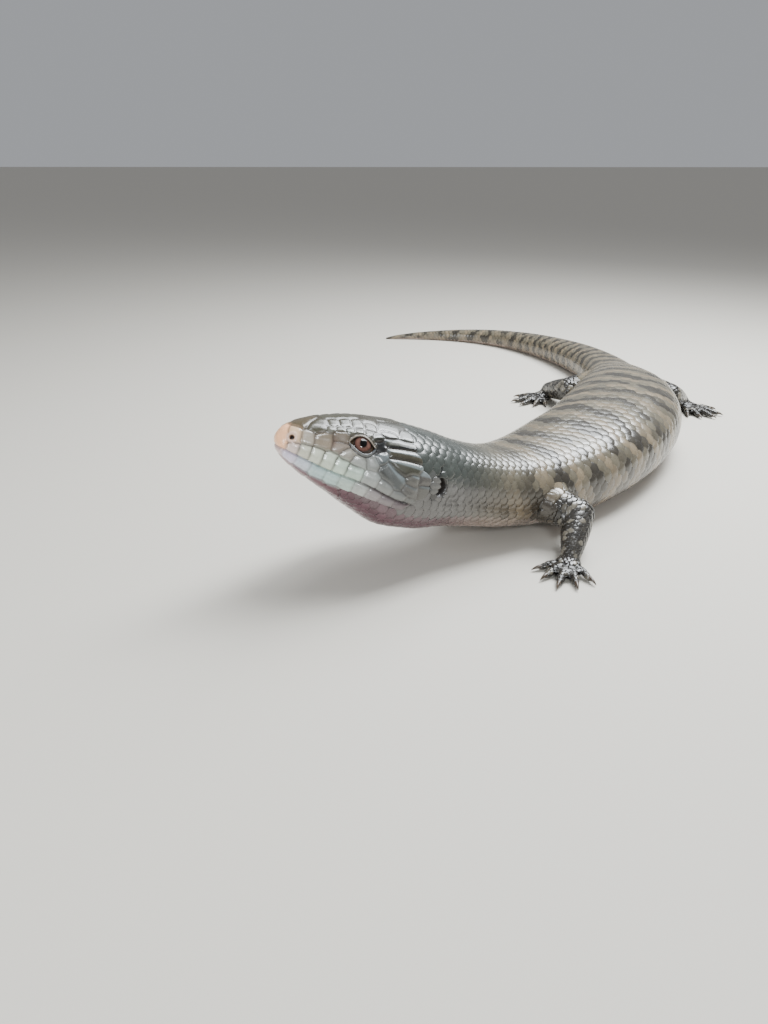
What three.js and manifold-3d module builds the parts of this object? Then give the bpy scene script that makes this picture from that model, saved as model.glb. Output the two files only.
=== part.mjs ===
// A blue tongued skink at life size, resting on its belly with its head raised and its body and tail in one
// long bend. Millimetres, +Z up, floor at Z 0. The body is a run of lofted lengths along one spine line, and
// legs, feet, eyes and eardrums are set on it.
import * as THREE from "three";
import { mergeVertices } from "three/addons/utils/BufferGeometryUtils.js";
import Module from "manifold-3d";

const wasm = await Module();
wasm.setup();

// Driving sizes
const HEAD_LENGTH = 56; // snout tip to ear opening
const BODY_LENGTH = 300; // snout tip to vent
const TAIL_LENGTH = 240; // vent to tail tip
const TOTAL_LENGTH = BODY_LENGTH + TAIL_LENGTH;
const GAP = 0.3; // what touching pieces keep between them
const FLAT = 0.8; // how far the belly and tail press flat on the floor
const HEAD_PITCH = 24; // degrees that the snout is raised
const RAISED_TO = 142; // how far down the body the chest is off the floor
const HEAD_HEADING = -62; // degrees in plan from snout to nape, so that the whole animal runs along X

// How the body bends in plan, in degrees, between two distances from the snout tip
const BENDS = [
  { from: 60, to: 125, turn: 16 }, // neck
  { from: 115, to: 290, turn: 38 }, // trunk
  { from: 280, to: 400, turn: 34 }, // hips and tail base
  { from: 380, to: TOTAL_LENGTH, turn: 66 }, // tail
];

// Girth stations: distance from the snout tip, half width, height above and depth below the spine line
const GIRTH = [
  { name: "snout tip", at: 0, half: 0.3, above: 0.3, below: 0.3 },
  { name: "rostral", at: 0.8, half: 3.0, above: 2.8, below: 3.3 },
  { name: "nostrils", at: 3.2, half: 5.5, above: 5.4, below: 6.1 },
  { name: "snout", at: 9, half: 8.2, above: 8.8, below: 9.2 },
  { name: "lores", at: 15, half: 10.3, above: 11.1, below: 11.7 },
  { name: "eyes", at: 23, half: 13.2, above: 13.4, below: 14.5 },
  { name: "cheeks", at: 32, half: 17.2, above: 14.8, below: 17.7 },
  { name: "jaw angle", at: 44, half: 21.0, above: 15.9, below: 20.8 },
  { name: "ears", at: HEAD_LENGTH, half: 20.2, above: 16.1, below: 20.0 },
  { name: "nape", at: 68, half: 18.2, above: 15.6, below: 17.4 },
  { name: "neck", at: 82, half: 18.6, above: 15.4, below: 15.6 },
  { name: "shoulders", at: 98, half: 21.2, above: 15.9, below: 15.2 },
  { name: "chest", at: 120, half: 24.6, above: 16.9, below: 15.9 },
  { name: "ribs", at: 155, half: 28.4, above: 18.2, below: 16.8 },
  { name: "belly", at: 205, half: 30.0, above: 18.6, below: 17.2 },
  { name: "loins", at: 245, half: 27.0, above: 17.4, below: 16.0 },
  { name: "hips", at: 275, half: 21.4, above: 15.2, below: 13.8 },
  { name: "vent", at: BODY_LENGTH, half: 16.4, above: 12.8, below: 11.8 },
  { name: "tail base", at: 330, half: 13.4, above: 11.1, below: 10.5 },
  { name: "tail third", at: 385, half: 10.2, above: 9.1, below: 8.7 },
  { name: "tail middle", at: 435, half: 7.5, above: 6.9, below: 6.7 },
  { name: "tail rear", at: 490, half: 4.5, above: 4.3, below: 4.2 },
  { name: "tail end", at: 530, half: 2.0, above: 2.0, below: 2.0 },
  { name: "tail tip", at: TOTAL_LENGTH, half: 0.9, above: 0.9, below: 0.9 },
];

// Where the body is parted, each node's name, and its rings and sides
const HEAD_END = 64;
const CHEST_FROM = 88;
const CHEST_TO = 142;
const HIPS_FROM = 255;
const HIPS_TO = 308;
const LENGTHS = [
  { name: "neck", from: HEAD_END, to: CHEST_FROM, rings: 5, sides: 30 },
  { name: "chest", from: CHEST_FROM, to: CHEST_TO, rings: 9, sides: 30 },
  { name: "abdomen", from: CHEST_TO, to: HIPS_FROM, rings: 12, sides: 30 },
  { name: "hips", from: HIPS_FROM, to: HIPS_TO, rings: 10, sides: 30 },
  { name: "tail_base", from: HIPS_TO, to: 365, rings: 10, sides: 24 },
  { name: "tail_middle", from: 365, to: 425, rings: 11, sides: 20 },
  { name: "tail_rear", from: 425, to: 485, rings: 11, sides: 16 },
  { name: "tail_tip", from: 485, to: TOTAL_LENGTH, rings: 12, sides: 12 },
];
const HEAD_MESH = { rings: 33, sides: 36, crowding: 1.4 }; // rings crowd towards the snout

// Head features: distance from the snout tip, and degrees round from the crown
// The lids' opening is skewed, so that the upper lid peaks in front of the middle and the lower one sags behind it
const EYE = { at: 24.6, round: 63.5, radius: 5.0, proud: 0.75, lid: 0.7, longHalf: 4.1, highHalf: 2.6, skew: 0.3 };
const NOSTRIL = { at: 2.8, round: 72, radius: 0.8, depth: 1.8 };
const EAR = { at: HEAD_LENGTH - 0.6, round: 86, halfLong: 2.1, halfHigh: 3.1, depth: 3.4, drumAt: 2.1 };
const LOBULE = { radius: 0.95, apart: 1.6, sunk: 0.5 }; // three small scales on the front edge of the ear
const BROW = { from: 10, to: 32, round: 48, thick: 1.5, endThick: 0.8, raise: 0.55 };
const MOUTH = [
  { at: 43.5, round: 106 },
  { at: 37, round: 106.5 },
  { at: 28, round: 105 },
  { at: 16.5, round: 109 },
  { at: 9, round: 110.5 },
  { at: 4.5, round: 114 },
  { at: 2.2, round: 122 },
  { at: 1.1, round: 142 },
  { at: 0.8, round: 180 },
];
const MOUTH_GROOVE = { halfWide: 0.35, reach: 1.3 };
const LIP_FRONT = 0.16; // share of the mouth line, each side of the snout, where the lips lie flush
const LIPS = [
  { name: "upper lip", offset: 2.3, halfWide: 2.0, halfDeep: 1.3, raise: 0.4, short: 0.05 },
  { name: "lower lip", offset: -1.9, halfWide: 1.6, halfDeep: 1.2, raise: 0.35, short: 0.09 },
];

// Limbs. Joints are given headward, outward from the spine and above the floor, with the radius there.
// The lead is how much farther ahead the right foot stands than the left.
const FORELEG = {
  name: "foreleg",
  foot: "forefoot",
  at: 105,
  lead: 6,
  joints: [
    { ahead: 1, out: 10, high: 17, radius: 8.0 },
    { ahead: -7, out: 30.5, high: 13.5, radius: 6.3 },
    { ahead: 6, out: 38.5, high: 5.2, radius: 4.2 },
  ],
  swell: 1.1,
  palm: { length: 9.0, halfWide: 5.2, halfHigh: 2.9 },
  points: 24, // degrees that the foot points outward from straight ahead
  digits: [
    { turn: -50, length: 5.4, radius: 1.5 },
    { turn: -22, length: 7.6, radius: 1.6 },
    { turn: 2, length: 8.8, radius: 1.65 },
    { turn: 25, length: 8.4, radius: 1.6 },
    { turn: 52, length: 6.2, radius: 1.5 },
  ],
};
const HINDLEG = {
  name: "hindleg",
  foot: "hindfoot",
  at: 284,
  lead: -7,
  joints: [
    { ahead: -2, out: 6, high: 13.5, radius: 9.4 },
    { ahead: 11, out: 28, high: 12.0, radius: 7.0 },
    { ahead: -5, out: 37.5, high: 5.6, radius: 4.6 },
  ],
  swell: 1.08,
  palm: { length: 11.5, halfWide: 5.5, halfHigh: 3.0 },
  points: 46,
  digits: [
    { turn: -50, length: 5.6, radius: 1.6 },
    { turn: -26, length: 8.4, radius: 1.7 },
    { turn: -5, length: 11.0, radius: 1.75 },
    { turn: 16, length: 12.0, radius: 1.7 },
    { turn: 48, length: 8.0, radius: 1.6 },
  ],
};
const CLAW = { length: 3.2, sunk: 0.8, radius: 0.85, tip: 0.14, droop: 1.0 };
const PALM_REACH = 0.62; // the palm's half length as a share of the way from the ankle to the toes' roots
const TOE_SPACING = 0.36; // between toe roots, as a share of the palm's half width
const TOE_ROOT = 0.86; // how far along the palm the middle toe grows
const TOE_SETBACK = 1.1; // how much farther back each toe beside it grows

const rad = THREE.MathUtils.degToRad;
const UP = new THREE.Vector3(0, 0, 1);

function ease(t) {
  const u = THREE.MathUtils.clamp(t, 0, 1);
  return u * u * (3 - 2 * u);
}

// A station's size at any distance, on a cubic that never swings past the stations on each side
function girthAt(s, size) {
  const last = GIRTH.length - 2;
  const found = GIRTH.findIndex((g, i) => i <= last && s <= GIRTH[i + 1].at);
  const i = found < 0 ? last : found;
  const slope = (k) => (GIRTH[k + 1][size] - GIRTH[k][size]) / (GIRTH[k + 1].at - GIRTH[k].at);
  const tangent = (k) => {
    if (k === 0) return slope(0);
    if (k === last + 1) return slope(last);
    const before = slope(k - 1);
    const after = slope(k);
    return before * after <= 0 ? 0 : (2 * before * after) / (before + after);
  };
  const span = GIRTH[i + 1].at - GIRTH[i].at;
  const t = THREE.MathUtils.clamp((s - GIRTH[i].at) / span, 0, 1);
  const a = GIRTH[i][size];
  const b = GIRTH[i + 1][size];
  const ta = tangent(i) * span;
  const tb = tangent(i + 1) * span;
  return a + t * (ta + t * (3 * (b - a) - 2 * ta - tb + t * (ta + tb - 2 * (b - a))));
}

// The spine line, one point each SPINE_STEP: plan from the bends, height from the raised head down to the belly
const SPINE_STEP = 0.5;
const SPINE = (() => {
  const restHeight = (s) => girthAt(s, "below") - FLAT * ease((s - RAISED_TO) / 40 + 1);
  const heading = (s) =>
    rad(HEAD_HEADING + BENDS.reduce((sum, b) => sum + b.turn * ease((s - b.from) / (b.to - b.from)), 0));
  const pitch = (s) => rad(HEAD_PITCH * (1 - ease((s - HEAD_LENGTH) / (RAISED_TO - HEAD_LENGTH))));
  const points = [];
  const plan = new THREE.Vector3();
  for (let s = 0; s <= TOTAL_LENGTH; s += SPINE_STEP) {
    points.push(plan.clone());
    const flat = Math.cos(pitch(s)) * SPINE_STEP;
    plan.x += Math.cos(heading(s)) * flat;
    plan.y += Math.sin(heading(s)) * flat;
  }
  const restFrom = Math.round(RAISED_TO / SPINE_STEP);
  for (let i = points.length - 1; i >= 0; i--) {
    const s = i * SPINE_STEP;
    points[i].z = i >= restFrom ? restHeight(s) : points[i + 1].z + Math.sin(pitch(s)) * SPINE_STEP;
  }
  return points;
})();

// The body's frame at a distance: the spine point, the way to the tail, the animal's left, and up
function frameAt(s) {
  const i = THREE.MathUtils.clamp(s / SPINE_STEP, 0, SPINE.length - 1.001);
  const k = Math.floor(i);
  const point = SPINE[k].clone().lerp(SPINE[k + 1], i - k);
  const reach = 6;
  const before = SPINE[Math.max(k - reach, 0)];
  const after = SPINE[Math.min(k + reach, SPINE.length - 1)];
  const tailward = after.clone().sub(before).normalize();
  const left = new THREE.Vector3().crossVectors(tailward, UP).normalize();
  const up = new THREE.Vector3().crossVectors(left, tailward);
  return { point, tailward, left, up };
}

// A point of the body's surface: phi runs from the top round the left side, in radians
const ROUNDNESS = 2.3; // the sections are a little squarer than ellipses
function bodyPoint(s, phi, grow = 0) {
  const frame = frameAt(s);
  const inHead = 1 - ease((s - HEAD_LENGTH) / 24);
  const across = Math.sign(Math.sin(phi)) * Math.abs(Math.sin(phi)) ** (2 / ROUNDNESS);
  const rise = Math.sign(Math.cos(phi)) * Math.abs(Math.cos(phi)) ** (2 / ROUNDNESS);
  const droop = 1 - 0.13 * inHead * Math.cos(phi); // the jowls are wider than the skull roof
  const sideways = (girthAt(s, "half") + grow) * across * droop;
  const upward = (girthAt(s, rise > 0 ? "above" : "below") + grow) * rise;
  const made = frame.point.clone().addScaledVector(frame.left, sideways).addScaledVector(frame.up, upward);
  made.z = Math.max(made.z, grow > 0 ? -grow : 0);
  return made;
}

// A closed tube: a cylinder whose rings are moved to place(ring share, angle), with flat ends
function tube(place, rings, sides) {
  const geometry = new THREE.CylinderGeometry(1, 1, 1, sides, rings);
  geometry.deleteAttribute("normal");
  geometry.deleteAttribute("uv");
  const position = geometry.getAttribute("position");
  for (let i = 0; i < position.count; i++) {
    const share = 0.5 - position.getY(i);
    const onAxis = Math.hypot(position.getX(i), position.getZ(i)) < 0.5;
    const angle = Math.atan2(position.getX(i), position.getZ(i));
    const made = onAxis
      ? place(share, 0).add(place(share, Math.PI)).multiplyScalar(0.5)
      : place(share, angle);
    position.setXYZ(i, made.x, made.y, made.z);
  }
  return mergeVertices(geometry, 1e-4);
}

function solid(geometry) {
  const merged = mergeVertices(geometry, 1e-4);
  const mesh = new wasm.Mesh({
    numProp: 3,
    vertProperties: new Float32Array(merged.getAttribute("position").array),
    triVerts: new Uint32Array(merged.index.array),
  });
  const made = new wasm.Manifold(mesh);
  if (made.volume() > 0) return made;
  const turned = new Uint32Array(merged.index.array);
  for (let i = 0; i < turned.length; i += 3) [turned[i + 1], turned[i + 2]] = [turned[i + 2], turned[i + 1]];
  mesh.triVerts = turned;
  return new wasm.Manifold(mesh);
}

function largest(manifold) {
  return manifold.decompose().reduce((a, b) => (a.volume() > b.volume() ? a : b));
}

function bare(geometry) {
  geometry.deleteAttribute("normal");
  geometry.deleteAttribute("uv");
  return geometry;
}

// What dips below the floor is pressed flat on it
function pressed(geometry) {
  const position = geometry.getAttribute("position");
  for (let i = 0; i < position.count; i++) position.setZ(i, Math.max(position.getZ(i), 0));
  return geometry;
}

// A round tube through points on a curve, with a radius at each
function finger(points, radii, rings, sides) {
  const curve = new THREE.CatmullRomCurve3(points, false, "centripetal");
  const spans = radii.length - 1;
  const place = (share, angle) => {
    const along = curve.getTangent(share);
    const across = new THREE.Vector3().crossVectors(along, UP).normalize();
    const upward = new THREE.Vector3().crossVectors(across, along);
    const k = Math.min(Math.floor(share * spans), spans - 1);
    const radius = THREE.MathUtils.lerp(radii[k], radii[k + 1], share * spans - k);
    return curve
      .getPoint(share)
      .addScaledVector(across, radius * Math.sin(angle))
      .addScaledVector(upward, radius * Math.cos(angle));
  };
  return solid(pressed(tube(place, rings, sides)));
}

// The flesh of one limb bone: a lathed outline between two joints, with a ball at each end
function flesh(from, to, fromRadius, toRadius, swell) {
  const length = from.distanceTo(to);
  const outline = [];
  const steps = 3;
  for (let i = 0; i < steps; i++) {
    const turn = (i / steps) * (Math.PI / 2);
    outline.push(new THREE.Vector2(fromRadius * Math.sin(turn), -fromRadius * Math.cos(turn)));
  }
  for (let i = 0; i <= steps; i++) {
    const t = i / steps;
    const radius = THREE.MathUtils.lerp(fromRadius, toRadius, t) * (1 + (swell - 1) * Math.sin(Math.PI * t));
    outline.push(new THREE.Vector2(radius, length * t));
  }
  for (let i = 1; i <= steps; i++) {
    const turn = (i / steps) * (Math.PI / 2);
    outline.push(new THREE.Vector2(toRadius * Math.cos(turn), length + toRadius * Math.sin(turn)));
  }
  outline[0].x = 0;
  outline[outline.length - 1].x = 0;
  const geometry = bare(new THREE.LatheGeometry(outline, 12));
  const along = to.clone().sub(from).normalize();
  geometry.applyQuaternion(new THREE.Quaternion().setFromUnitVectors(new THREE.Vector3(0, 1, 0), along));
  geometry.translate(from.x, from.y, from.z);
  return solid(pressed(geometry));
}

// The head's own directions at a place on its surface, given in millimetres from the snout and radians round
function headFrame(s, phi) {
  const step = 0.01;
  const point = bodyPoint(s, phi);
  const rearward = bodyPoint(s + 0.4, phi).sub(bodyPoint(Math.max(s - 0.4, 0.05), phi)).normalize();
  const round = bodyPoint(s, phi + step).sub(bodyPoint(s, phi - step)).normalize();
  const outward = new THREE.Vector3().crossVectors(round, rearward).normalize();
  if (outward.dot(point.clone().sub(frameAt(s + 6).point)) < 0) outward.negate();
  const downward = new THREE.Vector3().crossVectors(outward, rearward).normalize();
  if (downward.z > 0) downward.negate();
  return { point, rearward, downward, outward };
}

function inward(frame, depth) {
  return frame.point.clone().addScaledVector(frame.outward, -depth);
}

// A ball squashed to three half sizes along the rearward, downward and outward directions of a frame
function blob(frame, centre, halfLong, halfHigh, halfDeep, sides = 12) {
  const place = new THREE.Matrix4().makeBasis(
    frame.rearward.clone().multiplyScalar(halfLong),
    frame.downward.clone().multiplyScalar(halfHigh),
    frame.outward.clone().multiplyScalar(halfDeep),
  );
  place.setPosition(centre);
  return solid(bare(new THREE.SphereGeometry(1, sides, Math.round(sides * 0.6))).applyMatrix4(place));
}

// The eyelids' opening, a pointed oval, as a prism along the eye's axis
function lidOpening(frame) {
  const oval = new THREE.Shape();
  const peak = EYE.highHalf * 2;
  oval.moveTo(-EYE.longHalf, 0);
  oval.quadraticCurveTo(EYE.skew * peak, peak, EYE.longHalf, 0);
  oval.quadraticCurveTo(-EYE.skew * peak, -peak, -EYE.longHalf, 0);
  const prism = { depth: EYE.radius * 2, bevelEnabled: false, curveSegments: 7 };
  const geometry = new THREE.ExtrudeGeometry(oval, prism);
  const place = new THREE.Matrix4().makeBasis(frame.rearward, frame.downward, frame.outward);
  place.setPosition(inward(frame, 1.5));
  return solid(bare(geometry).applyMatrix4(place));
}

// The mouth runs from its left corner round the snout to its right one, as a curve of degrees and distances
const MOUTH_LINE = new THREE.CatmullRomCurve3([
  ...MOUTH.map((m) => new THREE.Vector3(m.round, m.at, 0)),
  ...MOUTH.slice(0, -1).reverse().map((m) => new THREE.Vector3(360 - m.round, m.at, 0)),
]);

function mouthFrame(share) {
  const at = (t) => MOUTH_LINE.getPoint(THREE.MathUtils.clamp(t, 0, 1));
  const here = at(share);
  const frame = headFrame(here.y, rad(here.x));
  const before = at(share - 0.01);
  const after = at(share + 0.01);
  const along = bodyPoint(after.y, rad(after.x)).sub(bodyPoint(before.y, rad(before.x))).normalize();
  const above = new THREE.Vector3().crossVectors(along, frame.outward).normalize();
  if (above.z < 0) above.negate();
  return { point: frame.point, outward: frame.outward, above, girth: Math.max(girthAt(here.y, "half"), 5) };
}

// A ribbon along the mouth: a flattened tube set off above or below the line and sunk to a given rise
function alongMouth(offset, halfWide, halfDeep, raise, short, rings, sides) {
  const place = (share, angle) => {
    const frame = mouthFrame(THREE.MathUtils.lerp(short, 1 - short, share));
    const taper = Math.sqrt(Math.min(1, Math.min(share, 1 - share) / 0.08 + 0.15));
    const front = 1 - ease(Math.abs(share - 0.5) / LIP_FRONT);
    const sunk = raise * (1 - 0.8 * front) - halfDeep - (offset * offset) / (2 * frame.girth);
    return frame.point
      .clone()
      .addScaledVector(frame.above, offset + taper * halfWide * Math.cos(angle))
      .addScaledVector(frame.outward, sunk + taper * halfDeep * Math.sin(angle));
  };
  return solid(tube(place, rings, sides));
}

const skink = new THREE.Group();

function addNode(name, manifold, material) {
  const cut = largest(manifold).getMesh();
  const corners = new Float32Array(cut.numVert * 3);
  for (let i = 0; i < cut.numVert; i++) {
    corners.set(cut.vertProperties.subarray(i * cut.numProp, i * cut.numProp + 3), i * 3);
  }
  const geometry = new THREE.BufferGeometry();
  geometry.setAttribute("position", new THREE.BufferAttribute(corners, 3));
  geometry.setIndex(new THREE.BufferAttribute(new Uint32Array(cut.triVerts), 1));
  const mesh = new THREE.Mesh(geometry, material);
  mesh.name = name;
  skink.add(mesh);
}

function bodyLength(from, to, rings, sides, grow = 0) {
  const place = (share, angle) => bodyPoint(THREE.MathUtils.lerp(from, to, share), angle, grow);
  return solid(tube(place, rings, sides));
}

const SIDES = [
  { word: "left", sign: 1 },
  { word: "right", sign: -1 },
];

// Skin finishes
const crownSkin = new THREE.MeshStandardMaterial({ color: 0x8c8678, roughness: 0.34, metalness: 0 });
const backSkin = new THREE.MeshStandardMaterial({ color: 0x77736a, roughness: 0.36, metalness: 0 });
const legSkin = new THREE.MeshStandardMaterial({ color: 0x34312d, roughness: 0.4, metalness: 0 });
const eyeBall = new THREE.MeshStandardMaterial({ color: 0x6e3a2a, roughness: 0.08, metalness: 0 });
const earDrum = new THREE.MeshStandardMaterial({ color: 0x4a4440, roughness: 0.5, metalness: 0 });

function buildHead() {
  const place = (share, angle) => bodyPoint((HEAD_END - GAP / 2) * share ** HEAD_MESH.crowding, angle);
  let head = solid(tube(place, HEAD_MESH.rings, HEAD_MESH.sides));
  for (const lip of LIPS) {
    head = head.add(alongMouth(lip.offset, lip.halfWide, lip.halfDeep, lip.raise, lip.short, 28, 6));
  }
  for (const { word, sign } of SIDES) {
    const eye = headFrame(EYE.at, sign * rad(EYE.round));
    const centre = inward(eye, EYE.radius - EYE.proud);
    const lids = EYE.radius + EYE.lid;
    const socket = EYE.radius + GAP;
    const browPoints = [0, 0.33, 0.66, 1].map((t) => {
      const along = headFrame(THREE.MathUtils.lerp(BROW.from, BROW.to, t), sign * rad(BROW.round));
      return inward(along, BROW.thick - BROW.raise);
    });
    head = head
      .add(blob(eye, centre, lids, lids, lids, 16))
      .add(finger(browPoints, [BROW.endThick, BROW.thick, BROW.thick, BROW.endThick], 7, 6))
      .subtract(lidOpening(eye))
      .subtract(blob(eye, centre, socket, socket, socket, 16));
    addNode("eye_" + word, blob(eye, centre, EYE.radius, EYE.radius, EYE.radius, 16), eyeBall);

    const nostril = headFrame(NOSTRIL.at, sign * rad(NOSTRIL.round));
    head = head.subtract(blob(nostril, nostril.point, NOSTRIL.radius, NOSTRIL.radius, NOSTRIL.depth, 8));

    const ear = headFrame(EAR.at, sign * rad(EAR.round));
    head = head.subtract(blob(ear, ear.point, EAR.halfLong, EAR.halfHigh, EAR.depth, 14));
    for (const row of [-1, 0, 1]) {
      const root = inward(ear, LOBULE.sunk)
        .addScaledVector(ear.rearward, -EAR.halfLong)
        .addScaledVector(ear.downward, row * LOBULE.apart);
      head = head.add(blob(ear, root, LOBULE.radius * 1.4, LOBULE.radius * 0.75, LOBULE.radius, 8));
    }
    const cup = blob(ear, ear.point, EAR.halfLong - GAP, EAR.halfHigh - GAP, EAR.depth - GAP, 12);
    const drumLevel = -ear.outward.dot(inward(ear, EAR.drumAt));
    addNode("ear_" + word, cup.trimByPlane(ear.outward.clone().negate().toArray(), drumLevel), earDrum);
  }
  const groove = alongMouth(0, MOUTH_GROOVE.halfWide, MOUTH_GROOVE.reach, MOUTH_GROOVE.reach, 0, 36, 4);
  addNode("head", head.subtract(groove), crownSkin);
}

// Where a limb's joint stands in the body's own directions at the limb's station
function standing(leg, sign, joint, share) {
  const { point, tailward, left } = frameAt(leg.at);
  const back = new THREE.Vector3(tailward.x, tailward.y, 0).normalize();
  const lead = sign < 0 ? leg.lead * share : 0;
  const made = point.clone().addScaledVector(back, -joint.ahead - lead).addScaledVector(left, sign * joint.out);
  made.z = joint.high;
  return made;
}

// A foot: a palm pressed on the floor and five toes, each with a claw
function footSolid(leg, ankle, turned) {
  const { length, halfWide, halfHigh } = leg.palm;
  const pointing = turned(leg.points);
  const across = turned(leg.points + 90);
  const place = new THREE.Matrix4().makeBasis(
    pointing.clone().multiplyScalar(length * PALM_REACH),
    across.clone().multiplyScalar(halfWide),
    new THREE.Vector3(0, 0, halfHigh),
  );
  const middle = ankle.clone().addScaledVector(pointing, length * 0.5).setZ(halfHigh * 0.8);
  place.setPosition(middle);
  const palm = bare(new THREE.SphereGeometry(1, 12, 7)).applyMatrix4(place);
  let foot = solid(pressed(palm)).add(flesh(ankle, middle, leg.joints[2].radius, halfHigh * 0.9, 1));
  leg.digits.forEach((digit, i) => {
    const way = turned(leg.points + digit.turn);
    const root = ankle
      .clone()
      .addScaledVector(pointing, length * TOE_ROOT - Math.abs(i - 2) * TOE_SETBACK)
      .addScaledVector(across, (i - 2) * halfWide * TOE_SPACING);
    const reach = (share, high) => root.clone().addScaledVector(way, (digit.length + 1.5) * share).setZ(high);
    const girth = digit.radius;
    const toe = [reach(0, girth + 0.5), reach(0.4, girth + 0.7), reach(0.75, girth), reach(1, girth * 0.8)];
    foot = foot.add(finger(toe, [girth * 1.15, girth, girth * 0.95, girth * 0.72], 3, 6));
    const nail = [0, 0.55, 1].map((t) => {
      const along = toe[3].clone().addScaledVector(way, (CLAW.length + CLAW.sunk) * t - CLAW.sunk);
      return along.setZ(toe[3].z + CLAW.droop * (0.3 - t * t));
    });
    foot = foot.add(finger(nail, [CLAW.radius, CLAW.radius * 0.7, CLAW.tip], 2, 5));
  });
  return foot;
}

// A leg runs from inside the flank to the ankle, where a plane square to the bend parts it from its foot
function buildLeg(leg, { word, sign }, flank) {
  const { tailward, left } = frameAt(leg.at);
  const ahead = new THREE.Vector3(-tailward.x, -tailward.y, 0).normalize();
  const turned = (degrees) =>
    ahead.clone().multiplyScalar(Math.cos(rad(degrees))).addScaledVector(left, sign * Math.sin(rad(degrees)));
  const [hip, knee, ankle] = leg.joints.map((joint, i) => standing(leg, sign, joint, i / 2));
  const [hipRadius, kneeRadius, ankleRadius] = leg.joints.map((joint) => joint.radius);
  const upper = flesh(hip, knee, hipRadius, kneeRadius, leg.swell);
  const lower = flesh(knee, ankle, kneeRadius * 0.96, ankleRadius, leg.swell);
  const parting = ankle.clone().sub(knee).normalize().add(turned(leg.points)).normalize();
  const level = parting.dot(ankle);
  const whole = upper.add(lower).subtract(flank);
  const shank = whole.trimByPlane(parting.clone().negate().toArray(), GAP / 2 - level);
  addNode(leg.name + "_" + word, shank, legSkin);
  const foot = footSolid(leg, ankle, turned);
  addNode(leg.foot + "_" + word, foot.trimByPlane(parting.toArray(), level + GAP / 2), legSkin);
}

buildHead();
for (const { name, from, to, rings, sides } of LENGTHS) {
  const end = to === TOTAL_LENGTH ? to : to - GAP / 2;
  addNode(name, bodyLength(from + GAP / 2, end, rings, sides), backSkin);
}
const FLANK_REACH = 30; // how far past a limb's station its root is fitted round the body
for (const leg of [FORELEG, HINDLEG]) {
  const flank = bodyLength(leg.at - FLANK_REACH, leg.at + FLANK_REACH, 12, 30, GAP);
  for (const side of SIDES) buildLeg(leg, side, flank);
}

// The floor point under the middle of the whole animal is the part's origin
const extent = new THREE.Box3().setFromObject(skink);
skink.position.set(-(extent.min.x + extent.max.x) / 2, -(extent.min.y + extent.max.y) / 2, -extent.min.z);

export default skink;
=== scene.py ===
# A blue tongued skink at life size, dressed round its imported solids. Its forms are worked out in
# millimetres along the animal's own body line, and set in the scene in metres.
import math

import bmesh
import bpy
import numpy as np
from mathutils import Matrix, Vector
from mathutils.bvhtree import BVHTree
from mathutils.kdtree import KDTree


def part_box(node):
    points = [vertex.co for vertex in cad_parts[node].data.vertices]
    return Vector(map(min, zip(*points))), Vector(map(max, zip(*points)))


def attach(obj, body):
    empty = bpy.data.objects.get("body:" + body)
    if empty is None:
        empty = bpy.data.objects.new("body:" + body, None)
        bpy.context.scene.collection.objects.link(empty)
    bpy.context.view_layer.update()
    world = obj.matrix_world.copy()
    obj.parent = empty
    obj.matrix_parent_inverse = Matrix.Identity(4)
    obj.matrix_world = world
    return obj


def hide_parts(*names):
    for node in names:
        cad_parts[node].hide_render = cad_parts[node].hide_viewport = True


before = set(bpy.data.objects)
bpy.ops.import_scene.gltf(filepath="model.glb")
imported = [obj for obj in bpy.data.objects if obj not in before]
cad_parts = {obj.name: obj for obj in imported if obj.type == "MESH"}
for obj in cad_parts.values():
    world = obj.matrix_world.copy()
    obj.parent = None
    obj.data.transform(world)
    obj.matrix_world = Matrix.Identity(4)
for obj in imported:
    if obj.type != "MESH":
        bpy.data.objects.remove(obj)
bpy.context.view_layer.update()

# Body line
# The animal is one tapering tube of flesh along its spine, from the snout to the tail tip. These are the
# sizes of the solids, so that each piece below is placed by its distance from the snout and its angle
# round from the crown.
MM = 0.001
HEAD_LENGTH = 56
BODY_LENGTH = 300
TOTAL_LENGTH = 540
FLAT = 0.8  # how far the belly presses flat on the floor
HEAD_PITCH = 24
RAISED_TO = 142
HEAD_HEADING = -62
BENDS = [(60, 125, 16), (115, 290, 38), (280, 400, 34), (380, TOTAL_LENGTH, 66)]  # from, to, degrees
GIRTH = np.array([  # distance from the snout, half width, height above the spine and depth below it
    (0, 0.3, 0.3, 0.3),
    (0.8, 3.0, 2.8, 3.3),
    (3.2, 5.5, 5.4, 6.1),  # nostrils
    (9, 8.2, 8.8, 9.2),
    (15, 10.3, 11.1, 11.7),
    (23, 13.2, 13.4, 14.5),  # eyes
    (32, 17.2, 14.8, 17.7),
    (44, 21.0, 15.9, 20.8),  # jaw angle
    (56, 20.2, 16.1, 20.0),  # ears
    (68, 18.2, 15.6, 17.4),
    (82, 18.6, 15.4, 15.6),  # neck
    (98, 21.2, 15.9, 15.2),
    (120, 24.6, 16.9, 15.9),  # chest
    (155, 28.4, 18.2, 16.8),
    (205, 30.0, 18.6, 17.2),  # belly
    (245, 27.0, 17.4, 16.0),
    (275, 21.4, 15.2, 13.8),  # hips
    (300, 16.4, 12.8, 11.8),  # vent
    (330, 13.4, 11.1, 10.5),
    (385, 10.2, 9.1, 8.7),
    (435, 7.5, 6.9, 6.7),
    (490, 4.5, 4.3, 4.2),
    (530, 2.0, 2.0, 2.0),
    (540, 0.9, 0.9, 0.9),  # tail tip
])
HALF_WIDTH, ABOVE, BELOW = 1, 2, 3
SPINE_STEP = 0.5
ROUNDNESS = 2.3
UP = np.array([0.0, 0.0, 1.0])


def ease(t):
    u = np.clip(t, 0, 1)
    return u * u * (3 - 2 * u)


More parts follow.
